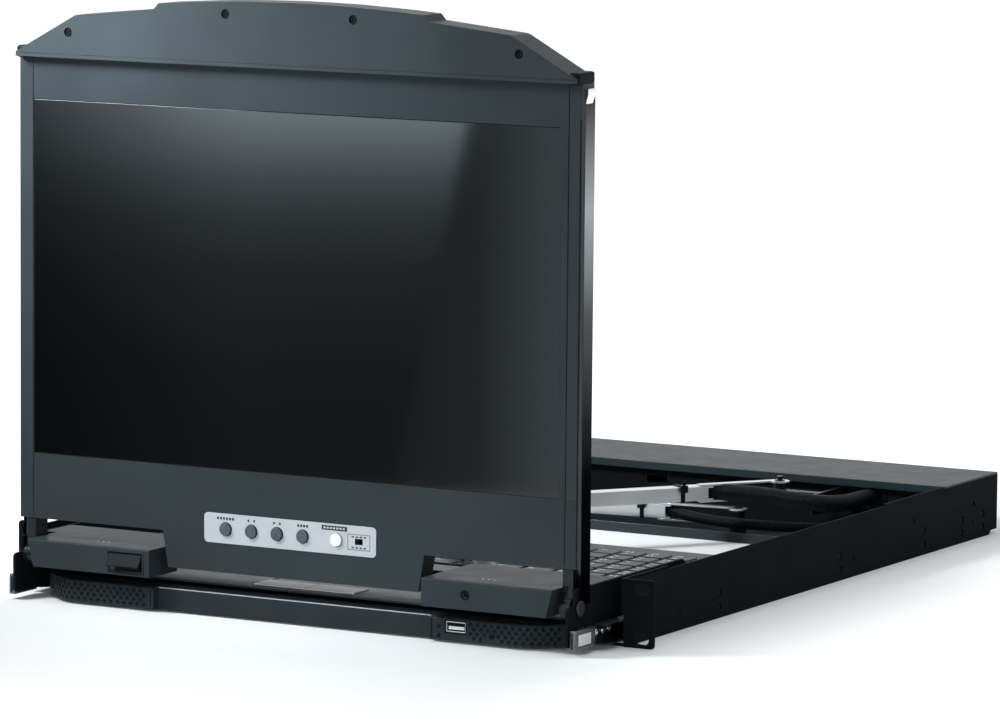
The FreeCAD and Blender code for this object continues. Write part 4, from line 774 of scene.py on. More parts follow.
# %% Label and the places of its buttons
label_low, label_high = corners("button_label")
rounded("button_label", label_film, 0.12)
BUTTONS = {name: (corners(name + "_button")[0] + corners(name + "_button")[1]) / 2
           for name in ("menu", "minus", "plus", "select", "power")}
row_height = BUTTONS["menu"].z
sign_height = row_height + 7.0
power_x = BUTTONS["power"].x
switch_x = (corners("recovery_switch")[0].x + corners("recovery_switch")[1].x) / 2
print("label", label_low, label_high)

# %% Ink bars and triangles
INK = 0.05


def ink_bar(x, z, width, height):
    """A bar of ink in front of the label, as thick as the film."""
    return cuboid((x - width / 2, label_low.y - INK, z - height / 2),
                  (x + width / 2, label_low.y, z + height / 2))


def ink_triangle(x, z, size, turn):
    """A triangle of ink; a turn of zero points it to the right."""
    deselect()
    bpy.ops.mesh.primitive_cylinder_add(vertices=3, radius=size * MM, depth=INK * MM,
                                        location=(x * MM, (label_low.y - INK / 2) * MM, z * MM),
                                        rotation=(math.pi / 2, math.radians(turn), 0))
    return settle(bpy.context.object)


# %% Signs over the buttons
BAR = (1.5, 1.7)
signs = [ink_bar(BUTTONS["menu"].x - 6.0 + 2.3 * step, sign_height, *BAR) for step in range(6)]
for name, turns in (("minus", (-90, 180)), ("plus", (90, 0))):
    for shift, turn in zip((-2.2, 2.2), turns):
        signs.append(ink_triangle(BUTTONS[name].x + shift, sign_height, 1.3, turn))
signs += [ink_bar(BUTTONS["select"].x - 3.3 + 2.2 * step, sign_height, *BAR) for step in range(4)]
signs.append(ink_bar(power_x - 1.6, sign_height + 0.4, 19.0, 3.0))
print(len(signs), "signs over the buttons")

# %% Outlined field round the switch
LINE = 0.35
OUTLINE_WIDTH, OUTLINE_HEIGHT = 16.4, 10.0
DASH = (1.8, 0.9)
for z in (row_height - 5.4, row_height + 4.6):
    signs.append(ink_bar(switch_x, z, OUTLINE_WIDTH, LINE))
for x in (switch_x - OUTLINE_WIDTH / 2, switch_x + OUTLINE_WIDTH / 2):
    signs.append(ink_bar(x, row_height - 0.4, LINE, OUTLINE_HEIGHT))
for step in range(4):
    for z in (row_height + 3.0, row_height - 4.0):
        signs.append(ink_bar(switch_x - 4.5 + 3.0 * step, z, *DASH))
dress(joined("label_signs", signs), "label_signs", label_ink, "lcd_panel", even=False)
print(len(signs), "signs in all")

# %% Light marks on the dark tag over the power button
tag_marks = [ink_bar(power_x - 9.0 + 2.4 * step, sign_height + 0.4, 1.5, 1.2) for step in range(7)]
for mark in tag_marks:
    mark.location.y = -INK * MM
    settle(mark)
dress(joined("label_tag_marks", tag_marks), "label_tag_marks", label_film, "lcd_panel", even=False)
print(len(tag_marks), "marks on the tag")

# %% [markdown]
# A button stands in a round hole, whose edge is dark with the shade of the gap, and a thin dark
# bead paints that shade. The bead could be a bevel of the label, but it has another colour, so it
# is a ring of its own. The small switch has a square frame.

# %% Rims of the buttons, the dark ones a painted shade, and frame of the switch
RIM_RADIUS = 4.3
# Dark beads round the buttons: painted shade of the gap.
gap_shade_rims = [ring("y", (middle.x, label_low.y, row_height), RIM_RADIUS, 0.42)
             for name, middle in BUTTONS.items() if name != "power"]
dress(joined("button_gap_shade_rims", gap_shade_rims), "button_gap_shade_rims", dark_plastic, "lcd_panel")
power_rim = ring("y", (power_x, label_low.y, row_height), RIM_RADIUS, 0.32)
dress(power_rim, "power_button_rim", button_plastic, "lcd_panel")
switch_frame = cuboid((switch_x - 2.9, label_low.y - 0.02, row_height - 2.0),
                      (switch_x + 2.9, label_low.y + 1.6, row_height + 2.0))
switch_slot = cuboid((switch_x - 2.5, label_low.y - 1, row_height - 1.6),
                     (switch_x + 2.5, label_low.y + 3, row_height + 1.6))
dress(combine(switch_frame, switch_slot, "DIFFERENCE"), "switch_window", dark_plastic, "lcd_panel")
print(len(gap_shade_rims) + 1, "rims")

# %% [markdown]
# ## Pods
# The two pods in front of the hinge are folded sheet. The right one has a ringed hole for a cable
# and the left one a framed window behind its flap. Three tiny printed dots mark each pod's top.

# %% Right pod with its ringed hole
pod_low, pod_high = corners("hinge_pod_right")
rounded("hinge_pod_right", pod_coat, 0.4)
hole_x, hole_z = pod_low.x + 32, pod_low.z + 9.75
hole_ring = [ring("y", (hole_x, pod_low.y, hole_z), 2.75, 0.55),
             disc("y", (hole_x, pod_low.y + 1.6, hole_z), 2.1, 1.0, sides=6)]
dress(joined("pod_hole_ring", hole_ring), "pod_hole_ring", dark_plastic, "lcd_carriage")
print("pod", pod_low, pod_high)

# %% Frame round the left pod's window
flap_low, flap_high = corners("pod_flap")
window_left, window_right = flap_low.x - 0.6, flap_high.x + 0.6
window_foot, window_top = pod_low.z + 1.5, pod_low.z + 15.5
outer = cuboid((window_left - 1.4, pod_low.y - 0.5, window_foot - 1.2),
               (window_right + 1.4, pod_low.y + 0.4, window_top + 1.2), edge=0.3)
inner = cuboid((window_left, pod_low.y - 2, window_foot),
               (window_right, pod_low.y + 2, window_top))
dress(combine(outer, inner, "DIFFERENCE"), "pod_window_frame", pod_coat, "lcd_carriage")
print("window", window_right - window_left, "by", window_top - window_foot)

# %% Latch block behind the flap
latch_parts = [cuboid((flap_low.x + 3, pod_low.y + 3.0, pod_low.z + 3.2),
                      (flap_high.x - 3, pod_low.y + 12.0, pod_low.z + 9.0), edge=0.4),
               cuboid((flap_low.x + 1, pod_low.y + 6.0, pod_low.z + 1.6),
                      (flap_high.x - 1, pod_low.y + 7.5, pod_low.z + 15.0), edge=0.3)]
dress(joined("pod_latch_block", latch_parts), "pod_latch_block", dark_plastic, "lcd_carriage")
print(len(latch_parts), "latch parts")

# %% Dots on the pods
DOT_PITCH = 4.2
dots = [disc("z", (middle + DOT_PITCH * step, pod_low.y + 16, pod_high.z), 0.65, 0.08, sides=14)
        for middle in (-148.0, 143.0) for step in (-1, 0, 1)]
dress(joined("pod_dots", dots), "pod_dots", legend_ink, "lcd_carriage", even=False)
print(len(dots), "dots")

# %% [markdown]
# ## Front moulding of the keyboard drawer
# The ends of the moulding have rows of small round pits, which give the fingers a grip. They could
# be a bump texture, but they show at the outline and in every light, so they are cut by spheres
# set in staggered rows along the curved front. A formula follows that front: a straight run, a
# round bend and a slanted end.

# %% The curve of the front
front_low, front_high = corners("keyboard_bezel")
FRONT_Y = -47.0
BEND_START = 166.3
BEND_RADIUS = 18.0
BEND_TURN = math.radians(35.3)


def front_point(along):
    """A point on the front and its outward direction, at a distance along it from the middle."""
    if along <= BEND_START:
        return Vector((along, FRONT_Y)), Vector((0, -1))
    turn = min((along - BEND_START) / BEND_RADIUS, BEND_TURN)
    outward = Vector((math.sin(turn), -math.cos(turn)))
    point = Vector((BEND_START, FRONT_Y + BEND_RADIUS)) + outward * BEND_RADIUS
    rest = along - BEND_START - BEND_RADIUS * turn
    return point + Vector((math.cos(turn), math.sin(turn))) * rest, outward


print("front", front_low, front_high)

# %% One sphere for each pit
PIT_SPHERE = 1.9
PIT_LIFT = 1.0
PIT_END = 196.0
RESET_X = 150.0
usb_low, usb_high = corners("usb_socket")


def pit_sphere(sign, along, height):
    """A sphere whose middle stands a little in front of the moulding."""
    point, outward = front_point(along)
    centre = point + outward * PIT_LIFT
    deselect()
    bpy.ops.mesh.primitive_uv_sphere_add(
        segments=14, ring_count=8, radius=PIT_SPHERE * MM,
        location=(sign * centre.x * MM, centre.y * MM, (front_low.z - 2 + height) * MM))
    return settle(bpy.context.object)


def is_plain(sign, along, height):
    """Past the end, and on the right round the socket and the reset hole, there are no pits."""
    at_socket = sign > 0 and usb_low.x - 3.5 < along < usb_high.x + 3.5
    at_reset = sign > 0 and abs(along - RESET_X) < 3.6 and height < 10
    return along > PIT_END or at_socket or at_reset


# %% Rows of spheres
PIT_START = 111.5
PIT_PITCH = 5.1
PIT_ROWS = [4.3, 7.4, 10.5, 13.6]
pits = []
for sign in SIDES.values():
    for row, height in enumerate(PIT_ROWS):
        for step in range(18):
            along = PIT_START + PIT_PITCH * (step + 0.5 * (row % 2))
            if not is_plain(sign, along, height):
                pits.append(pit_sphere(sign, along, height))
print(len(pits), "pits")

# %% [markdown]
# A pit is cut out of the moulding, and its inside takes over the cutter's material. So the cutter
# gets the same two materials as the moulding and uses the darker one, a painted shade inside each
# pit. Two grooves mark the joints between the pitted ends and the plain middle.

# %% Cut the pits, the reset hole and the grooves
front = soften(welded_copy("keyboard_bezel"), 0.7)
pit_field = joined("pits", pits)
for item in (front, pit_field):
    item.data.materials.append(moulding)
    item.data.materials.append(pit_painted_shade_plastic)
# The pits' faces take the darker plastic: painted shade in each pit.
for polygon in pit_field.data.polygons:
    polygon.material_index = 1
GROOVE_X, GROOVE_HALF = 106.2, 0.6
grooves = [cuboid((sign * GROOVE_X - GROOVE_HALF, FRONT_Y - 1, front_low.z - 1),
                  (sign * GROOVE_X + GROOVE_HALF, FRONT_Y + 0.7, front_high.z + 1))
           for sign in SIDES.values()]
combine(front, pit_field, "DIFFERENCE")
combine(front, disc("y", (RESET_X, FRONT_Y, front_low.z + 5), 2.2, 3.0, sides=32), "DIFFERENCE")
combine(front, joined("grooves", grooves), "DIFFERENCE")
stand_in(front, "keyboard_bezel", moulding)
print("moulding has", len(front.data.polygons), "faces")

# %% [markdown]
# The scoop in the middle of the moulding ends in an edge that catches the light. A very thin
# rounded bar of pale plastic on the edge is a painted highlight along it.

# %% Painted highlight on the edge of the scoop
SCOOP_HALF = 103.0
SCOOP_Y = FRONT_Y + 5.0
# This bar is the edge's painted highlight.
scoop_painted_highlight = cuboid((-SCOOP_HALF, SCOOP_Y - 0.15, front_high.z - 0.75),
                    (SCOOP_HALF, SCOOP_Y + 0.5, front_high.z + 0.05), edge=0.2)
dress(scoop_painted_highlight, "scoop_painted_highlight", edge_painted_highlight, "keyboard")
print("edge", 2 * SCOOP_HALF, "mm long")

# %% [markdown]
# ## USB socket and reset button
# The socket is a metal shell from CAD. Inside it there is a white tongue against a dark lining,
# and a thin dark frame closes the gap round its mouth. The reset button sits deep in its hole.

# %% Tongue, frame and lining of the socket
tongue = cuboid((usb_low.x + 1.6, usb_low.y + 0.5, usb_low.z + 1.6),
                (usb_high.x - 1.6, usb_high.y - 0.8, usb_low.z + 3.6), edge=0.15)
dress(tongue, "usb_tongue", white_plastic, "keyboard")
surround = cuboid((usb_low.x - 0.9, FRONT_Y - 0.15, usb_low.z - 0.9),
                  (usb_high.x + 0.9, FRONT_Y + 0.6, usb_high.z + 0.9), edge=0.1)
opening = cuboid((usb_low.x - 0.1, FRONT_Y - 2, usb_low.z - 0.1),
                 (usb_high.x + 0.1, FRONT_Y + 2, usb_high.z + 0.1))
dress(combine(surround, opening, "DIFFERENCE"), "usb_surround", dark_plastic, "keyboard")
lining = cuboid((usb_low.x + 0.7, usb_low.y + 1.4, usb_low.z + 0.7),
                (usb_high.x - 0.7, usb_high.y - 1.0, usb_high.z - 0.7))
dress(lining, "usb_lining", dark_plastic, "keyboard")
print("socket", usb_low, usb_high)

# %% Reset button
reset = disc("y", (RESET_X, FRONT_Y + 1.3, front_low.z + 5), 1.6, 1.0, sides=20, edge=0.2)
dress(reset, "reset_button", dark_plastic, "keyboard")
print("reset button at", RESET_X)

# %% [markdown]
# ## Key legends
# Every cap has a printed legend. Letters could be made from text, but at this size only their ink
# shows, so six plain signs made of short bars are modelled once, and copies are laid on the caps.
# The caps are found from the CAD mesh: the triangles at the top level that share corners are one
# cap.

# %% Find the caps
def cap_tops(name):
    """The lowest and highest corner of each cap's top face, in millimetres."""
    level = corners(name)[1].z
    groups = []
    mesh = NODES[name].data
    for polygon in mesh.polygons:
        points = {tuple(round(c / MM, 2) for c in mesh.vertices[i].co) for i in polygon.vertices}
        if any(abs(point[2] - level) > 0.05 for point in points):
            continue
        for group in [g for g in groups if g & points]:
            points |= group
            groups.remove(group)
        groups.append(points)
    return [(Vector(map(min, zip(*group))), Vector(map(max, zip(*group)))) for group in groups]


print(len(cap_tops("letter_keys")), "letter caps")


# %% Six signs made of bars
STROKE = 0.7
LEGEND_FILM = 0.05
# Each bar has the place of its middle, its width and its height.
SIGN_STROKES = [
    [(0, 0, 2.8, STROKE)],
    [(0, 1.0, 2.8, STROKE), (0, -1.0, 2.8, STROKE)],
    [(-1.0, 0, STROKE, 3.0), (1.0, 0, STROKE, 3.0)],
    [(0, 1.3, 2.6, STROKE), (0, -1.3, 2.6, STROKE), (1, 0, STROKE, 3.0), (-1, 0, STROKE, 3.0)],
    [(0, 0, 1.9, 1.9)],
    [(-0.7, 0.9, 1.6, STROKE), (0.6, -0.9, 1.8, STROKE)],
]
models = []
for strokes in SIGN_STROKES:
    bars = [cuboid((x - w / 2, y - h / 2, 0), (x + w / 2, y + h / 2, LEGEND_FILM))
            for x, y, w, h in strokes]
    models.append(joined("sign_model", bars))
print(len(models), "signs")

# %% A copy of a sign
random.seed(7)
LEGEND_GROWTH = 1.35
LEGEND_STRETCH = 1.3


def legend_copy(model, x, y, z):
    copy = bpy.data.objects.new("legend", model.data.copy())
    scene.collection.objects.link(copy)
    copy.location = (x * MM, y * MM, z * MM)
    copy.scale = (LEGEND_GROWTH * LEGEND_STRETCH, LEGEND_GROWTH, 1)
    return settle(copy)


# %% Lay the signs on the caps
LEGEND_INSET = 4.0
LEGENDS_PER_CAP = {"function_keys": 1, "number_keys": 2, "letter_keys": 1, "number_pad_keys": 2}
legend_count = 0
for name, per_cap in LEGENDS_PER_CAP.items():
    copies = []
    for low, high in cap_tops(name):
        places = [(low.x + LEGEND_INSET, high.y - LEGEND_INSET),
                  (low.x + LEGEND_INSET, low.y + LEGEND_INSET)]
        for x, y in places[:per_cap]:
            copies.append(legend_copy(random.choice(models), x, y, high.z))
    legend_count += len(copies)
    dress(joined(name + "_legends", copies), name + "_legends", legend_ink, name, even=False)
for model in models:
    bpy.data.objects.remove(model)
print(legend_count, "legends")

# %% [markdown]
# ## Slide ends
# The front of each display slide ends in a metal block with a slot in its face. A white tab beside
# the slot releases the slide. It moves, so it is a piece of its own, and the block has room for
# it. Behind the block the runner's nose is a plain plate with three socket screws.

# %% Places of the slide ends
end_low, end_high = corners("rail_end_blocks")
plate_high = corners("side_plate_right")[1].x
runner_low = corners("lcd_runners")[0]
BLOCK_WIDTH = 4.3
BLOCK_LENGTH = 27.0
TAB_SHIFT = 5.6
block_face = plate_high + BLOCK_WIDTH
block_rear = end_low.y + BLOCK_LENGTH


def mirrored(sign, low, high):
    """The two corners of a block on the right side, or its mirror image on the left."""
    return (sign * low[0], low[1], low[2]), (sign * high[0], high[1], high[2])


def tab_place(side):
    """Where a release tab starts and ends, along the slide and then in height."""
    low, high = corners("release_tab_" + side)
    return low.y - TAB_SHIFT, high.y - TAB_SHIFT, low.z, high.z


print("slide ends", end_low, end_high)

# %% An end block with a slot and room for its tab
TAB_GAP = 0.4
ROOM_DEPTH = 3.6


def end_block(side, sign):
    near, far, foot, top = tab_place(side)
    block = cuboid(*mirrored(sign, (plate_high, end_low.y, end_low.z),
                             (block_face, block_rear, end_high.z)), edge=0.5)
    slot = cuboid(*mirrored(sign, (plate_high + 1.1, end_low.y - 1, end_low.z + 1.6),
                            (block_face - 1.1, end_low.y + 1.6, end_high.z - 1.6)))
    room = cuboid(*mirrored(sign, (block_face - ROOM_DEPTH, near - TAB_GAP, foot - TAB_GAP),
                            (block_face + 1, far + TAB_GAP, top + TAB_GAP)))
    return combine(combine(block, slot, "DIFFERENCE"), room, "DIFFERENCE")

# %% A release tab
def release_tab(side, sign):
    near, far, foot, top = tab_place(side)
    tab = cuboid(*mirrored(sign, (block_face - 1.6, near, foot), (block_face + 0.3, far, top)),
                 edge=0.5)
    dress(tab, f"release_tab_{side}_finished", white_plastic,
          NODES["release_tab_" + side]["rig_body"])
    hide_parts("release_tab_" + side)
    return tab

# %% A runner's nose and its three screws
NOSE_SCREWS = (-23.0, -14.2, -5.4)


def runner_nose(sign):
    return cuboid(*mirrored(sign, (plate_high, block_rear - 1, end_low.z + 1.0),
                            (plate_high + 1.6, runner_low.y + 1, end_high.z - 1.0)), edge=0.3)


def nose_screws(sign):
    return [socket_screw("x", (sign * (plate_high + 2.6), y, runner_low.z + 8.6), 2.2, 2.6, 0.5,
                         socket=1.0, offset=sign * 1.4) for y in NOSE_SCREWS]


# %% Both slide ends
side_blocks, noses, runner_screws = [], [], []
for side, sign in SIDES.items():
    side_blocks.append(end_block(side, sign))
    print(release_tab(side, sign).name)
    noses.append(runner_nose(sign))
    runner_screws += nose_screws(sign)
blocks = dress(joined("rail_end_covers", side_blocks), "rail_end_covers", end_block_metal,
               "lcd_carriage")
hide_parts("rail_end_blocks")
dress(joined("runner_noses", noses), "runner_noses", zinc_painted_shade, "lcd_carriage")
dress(joined("runner_screws", runner_screws), "runner_screws", bright_steel, "lcd_carriage")
print(len(runner_screws), "runner screws")

# %% [markdown]
# ## Cable sleeves
# Each arm carries the cables in a ribbed sleeve that lies in its channel and bends across to the
# bulkhead. A sleeve could be a plain tube with a bump, but its ribs show at its outline, so ribs
# are laid along a smooth curve. The curve goes through given points, in straight and bent runs.

# %% Arm frames
def arm_place(start_joint, end_joint):
    """The arm's own frame: its origin on the first pivot and its X axis along the link."""
    start, end = (Vector(JOINTS[name]["pos_m"]) for name in (start_joint, end_joint))
    along = (end - start).normalized()
    across = Vector((-along.y, along.x, 0))
    matrix = Matrix((along, across, Vector((0, 0, 1)))).transposed().to_4x4()
    matrix.translation = Vector((start.x, start.y, 0))
    return matrix


upper_arm = arm_place("lcd_arm_rear_swing", "lcd_arm_front_swing")
lower_arm = arm_place("keyboard_arm_rear_swing", "keyboard_arm_front_swing")
upper_low, upper_high = corners("lcd_arm_rear_link")
lower_low, lower_high = corners("keyboard_arm_rear_link")
tails_low, tails_high = corners("cable_tails")
CHANNEL_MIDDLE = -6.8
print("channels", upper_low, upper_high, lower_low, lower_high)


# %% Smooth route through points
def smooth_route(points):
    """Points along a smooth curve through the route, in metres."""
    curve = bpy.data.curves.new("route", "CURVE")
    curve.dimensions = "3D"
    spline = curve.splines.new("NURBS")
    spline.points.add(len(points) - 1)
    for target, point in zip(spline.points, points):
        target.co = (*point, 1.0)
    spline.order_u = 3
    spline.use_endpoint_u = True
    spline.resolution_u = 12
    holder = bpy.data.objects.new("route", curve)
    scene.collection.objects.link(holder)
    mesh = bpy.data.meshes.new_from_object(holder)
    route = [vertex.co.copy() for vertex in mesh.vertices]
    bpy.data.objects.remove(holder)
    bpy.data.meshes.remove(mesh)
    return route


# %% Even places along a route
def evenly(route, pitch):
    """Places and directions at an even pitch along a route."""
    places, carried = [], 0.0
    for a, b in zip(route, route[1:]):
        length = (b - a).length
        while carried < length:
            places.append((a + (b - a) * (carried / length), (b - a).normalized()))
            carried += pitch
        carried -= length
    return places


# %% Mesh of a ribbed tube
RIB_PROFILE = (0.0, 0.75, 1.0, 0.75)
SLEEVE_SIDES = 20


def ribbed_mesh(places, radius, rib):
    """Rings of corners along the places, joined by faces, with a face over each end."""
    verts, faces = [], []
    for index, (place, direction) in enumerate(places):
        grown = radius + rib * RIB_PROFILE[index % len(RIB_PROFILE)]
        turn = direction.to_track_quat("Z", "Y")
        for side in range(SLEEVE_SIDES):
            angle = 2 * math.pi * side / SLEEVE_SIDES
            spoke = Vector((math.cos(angle) * grown, math.sin(angle) * grown, 0))
            verts.append(place + turn @ spoke)
    for start in range(0, len(verts) - SLEEVE_SIDES, SLEEVE_SIDES):
        for side in range(SLEEVE_SIDES):
            a, b = start + side, start + (side + 1) % SLEEVE_SIDES
            faces.append((a, b, b + SLEEVE_SIDES, a + SLEEVE_SIDES))
    faces.append(tuple(reversed(range(SLEEVE_SIDES))))
    faces.append(tuple(range(len(verts) - SLEEVE_SIDES, len(verts))))
    mesh = bpy.data.meshes.new("sleeve")
    mesh.from_pydata(verts, [], faces)
    return mesh


# %% Ribbed sleeve maker
def ribbed_sleeve(points, radius, pitch, rib):
    """A tube with a raised ring at every pitch, closed at both ends."""
    places = evenly(smooth_route(points), pitch / len(RIB_PROFILE))
    item = bpy.data.objects.new("sleeve", ribbed_mesh(places, radius, rib))
    scene.collection.objects.link(item)
    activate(item)
    bpy.ops.object.mode_set(mode="EDIT")
    bpy.ops.mesh.select_all(action="SELECT")
    bpy.ops.mesh.normals_make_consistent(inside=False)
    bpy.ops.object.mode_set(mode="OBJECT")
    return item

# %% Finish of a sleeve
def blended(item, name, material):
    """Name a piece, give it its finish and smooth shading, move its place into its mesh and hide
    the CAD cable tails.
    """
    item.name = name
    item.data.materials.append(material)
    activate(item)
    bpy.ops.object.shade_smooth_by_angle(angle=math.radians(50.0))
    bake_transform(item)
    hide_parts("cable_tails")
    return item


# %% Levels of the sleeves and the channels
UPPER_SLEEVE = 5.7
LOWER_SLEEVE = 3.4
tail_x = (tails_low.x + 5.0) * MM
upper_tail = (tails_high.z - 5.0) * MM
lower_tail = (tails_low.z + 4.0) * MM
upper_channel = (upper_low.z + upper_high.z) / 2 * MM
lower_channel = (lower_low.z + lower_high.z) / 2 * MM


def in_channel(arm, along, level):
    """A point in the middle of an arm's channel, in metres."""
    point = arm @ Vector((along * MM, CHANNEL_MIDDLE * MM, 0))
    return Vector((point.x, point.y, level))


print("channel levels", upper_channel, lower_channel)

# %% Upper sleeve
upper_points = [Vector((tail_x, 0.497, upper_tail)), Vector((tail_x, 0.470, upper_tail)),
                Vector((tail_x, 0.446, upper_tail)), Vector((0.155, 0.428, upper_tail + 0.001)),
                Vector((0.137, 0.418, upper_tail + 0.003)), Vector((0.110, 0.414, upper_channel)),
                Vector((0.088, 0.413, upper_channel)), in_channel(upper_arm, 49.0, upper_channel),
                in_channel(upper_arm, 55.6, upper_channel)]
upper_sleeve = ribbed_sleeve(upper_points, UPPER_SLEEVE * MM, 1.7 * MM, 0.35 * MM)
blended(upper_sleeve, "upper_sleeve", sleeve_braid)
print("upper sleeve", len(upper_sleeve.data.polygons), "faces")

# %% Lower sleeve
lower_points = [Vector((tail_x, 0.497, lower_tail)), Vector((tail_x, 0.478, lower_tail)),
                Vector((0.158, 0.460, lower_tail)), Vector((0.138, 0.446, lower_tail)),
                Vector((0.105, 0.438, lower_tail)), Vector((0.070, 0.436, lower_tail)),
                Vector((0.040, 0.442, lower_tail + 0.001)),
                in_channel(lower_arm, 50, lower_channel),
                in_channel(lower_arm, 55.6, lower_channel)]
lower_sleeve = ribbed_sleeve(lower_points, LOWER_SLEEVE * MM, 2.0 * MM, 0.45 * MM)
blended(lower_sleeve, "lower_sleeve", sleeve_braid)
print("lower sleeve", len(lower_sleeve.data.polygons), "faces")

# %% [markdown]
# ## Grommets
# A cable that goes through sheet metal needs a grommet, and these two also close the wide windows
# of the bulkhead. Each is a thin rubber plate with a round passage as wide as its sleeve.

# %% Grommets at the bulkhead
bulkhead_low = corners("bulkhead")[0]
GROMMET_HALF = 11.8
grommets = []
for radius, height in ((UPPER_SLEEVE, upper_tail / MM), (LOWER_SLEEVE, lower_tail / MM)):
    plate = cuboid((tail_x / MM - GROMMET_HALF, bulkhead_low.y - 0.8, height - radius - 1.2),
                   (tail_x / MM + GROMMET_HALF, bulkhead_low.y - 0.05, height + radius + 1.2),
                   edge=0.3)
    passage = disc("y", (tail_x / MM, bulkhead_low.y, height), radius, 4.0, sides=32)
    grommets.append(combine(plate, passage, "DIFFERENCE"))
dress(joined("cable_grommets", grommets), "cable_grommets", dark_plastic, "chassis")
print(len(grommets), "grommets")

# %% [markdown]
# ## Cables in the channels
# Beyond its sleeve a cable lies bare in the channel. It is a straight rod with slightly rounded
# ends, laid from one point of the channel to another, and it rides on the arm's rear link.

# %% Cables inside the channels
CABLE_RADIUS = 1.35
CABLE_PITCH = 2.9
CABLE_ENDS = (54, 236)


def channel_cable(arm, level):
    near, far = (in_channel(arm, along, level) for along in CABLE_ENDS)
    deselect()
    bpy.ops.mesh.primitive_cylinder_add(vertices=16, radius=CABLE_RADIUS * MM,
                                        depth=(far - near).length, location=(near + far) / 2)
    cable = bpy.context.object
    cable.rotation_euler = (far - near).to_track_quat("Z", "Y").to_euler()
    return soften(settle(cable), 0.3)


for arm, body, level, count in ((upper_arm, "lcd_arm_rear", upper_channel, 3),
                                (lower_arm, "keyboard_arm_rear", lower_channel, 2)):
    cables = [channel_cable(arm, level + (index - (count - 1) / 2) * CABLE_PITCH * MM)
              for index in range(count)]
    dress(joined(body + "_cables", cables), body + "_cables", dark_plastic, body)
    print(count, "cables in", body)

# %% [markdown]
# ## Cable ties
# A tie is a thin strap round the channel with a square head. A rounded block with its inside cut
# away makes the strap, and it is set across the arm in the arm's own frame.

# %% One cable tie
def cable_tie(arm, along, level_low, level_high):
    """A strap round the channel and its head, in millimetres along the arm."""
    outer = cuboid((along - 1.5, -13.9, level_low - 0.9), (along + 1.5, 0.3, level_high + 0.9),
                   edge=0.5)
    inner = cuboid((along - 5, -13.1, level_low - 0.1), (along + 5, -0.5, level_high + 0.1))
    strap = combine(outer, inner, "DIFFERENCE")
    head = cuboid((along - 2.6, -0.2, level_high - 3.4), (along + 2.6, 2.6, level_high + 1.8),
                  edge=0.5)
    tail = cuboid((along - 1.2, 0.4, level_high + 1.2), (along + 1.2, 1.4, level_high + 4.4),
                  edge=0.3)
    tie = joined("tie", [strap, head, tail])
    tie.matrix_world = arm
    return settle(tie)


# %% Ties round the channels
CHANNEL_FOOT, CHANNEL_TOP = 1.4, 11.4
for arm, body, level, places in ((upper_arm, "lcd_arm_rear", upper_low.z, (76, 190)),
                                 (lower_arm, "keyboard_arm_rear", lower_low.z, (74, 200))):
    ties = [cable_tie(arm, along, level + CHANNEL_FOOT, level + CHANNEL_TOP) for along in places]
    dress(joined(body + "_ties", ties), body + "_ties", dark_plastic, body)
    print(len(ties), "ties on", body)

# %% [markdown]
# ## Back panel
# The sockets at the back get their inner tongues, and small screws hold the pan's back panel.

# %% Back panel trim
pan_low, pan_high = corners("rear_pan")
ports_low, ports_high = corners("signal_ports")
SCREW_COLUMNS = (pan_low.x + 12, -118.0, 50.0, 158.0, pan_high.x - 12)
TONGUE_SPANS = ((65.5, 89.5), (104.5, 109.5), (124.0, 134.0))
panel_screws = [socket_screw("y", (x, pan_high.y + 0.4, pan_low.z + 33.5), 2.6, 1.0, 0.35,
                             socket=1.3, offset=0.6) for x in SCREW_COLUMNS]
dress(joined("panel_screws", panel_screws), "panel_screws", dull_zinc, "chassis")
tongues = [cuboid((near, ports_high.y - 7, ports_low.z + 4.5),
                  (far, ports_high.y - 2.5, ports_low.z + 8.5), edge=0.3)
           for near, far in TONGUE_SPANS]
dress(joined("port_tongues", tongues), "port_tongues", dark_plastic, "chassis")
print("back panel", pan_low, pan_high)

# %% [markdown]
# ## Studio
# A pale, matt floor carries the soft shadow. The backdrop is white only to the camera and to
# reflections, by the Light Path node, so it adds no light to the object. More lamps could whiten
# it too, but they would bleach the black finishes.

# %% White to the camera and in reflections
def seen_directly(nodes, links):
    """One for camera, gloss and transmission rays, and zero for all others."""
    paths = nodes.new("ShaderNodeLightPath")
    either = nodes.new("ShaderNodeMath")
    either.operation = "MAXIMUM"
    links.new(paths.outputs["Is Camera Ray"], either.inputs[0])
    links.new(paths.outputs["Is Glossy Ray"], either.inputs[1])
    any_ray = nodes.new("ShaderNodeMath")
    any_ray.operation = "MAXIMUM"
    links.new(either.outputs["Value"], any_ray.inputs[0])
    links.new(paths.outputs["Is Transmission Ray"], any_ray.inputs[1])
    return any_ray.outputs["Value"]


# %% [markdown]
# ## Floor
# A floor under soft lamps is grey, not white. This one is lifted towards white where only the
# camera and reflections see it, and the lift grows with the distance from the drawer. Close by the
# floor stays grey, which keeps the shadow whole and adds a painted shade round the drawer, and
# further away the shade fades out.

# %% Floor plane and its finish
bpy.ops.mesh.primitive_plane_add(size=24.0, location=(0, 0, FLOOR_Z))
floor = bpy.context.object
floor.name = "floor"
floor_finish, nodes, links, shader, place = new_material("pale_floor")
shader.inputs["Base Color"].default_value = (0.80, 0.80, 0.80, 1)
shader.inputs["Roughness"].default_value = 0.60
shader.inputs["Specular IOR Level"].default_value = 0.0
shader.inputs["Emission Color"].default_value = (1, 1, 1, 1)
floor.data.materials.append(floor_finish)
print("floor at", FLOOR_Z)


# %% Distance from the drawer
BODY_MIDDLE = (0.0, 0.26, FLOOR_Z)
BODY_HALF = (0.20, 0.28, 1.0)
SIDE_STRETCH = (2.4, 1, 1)


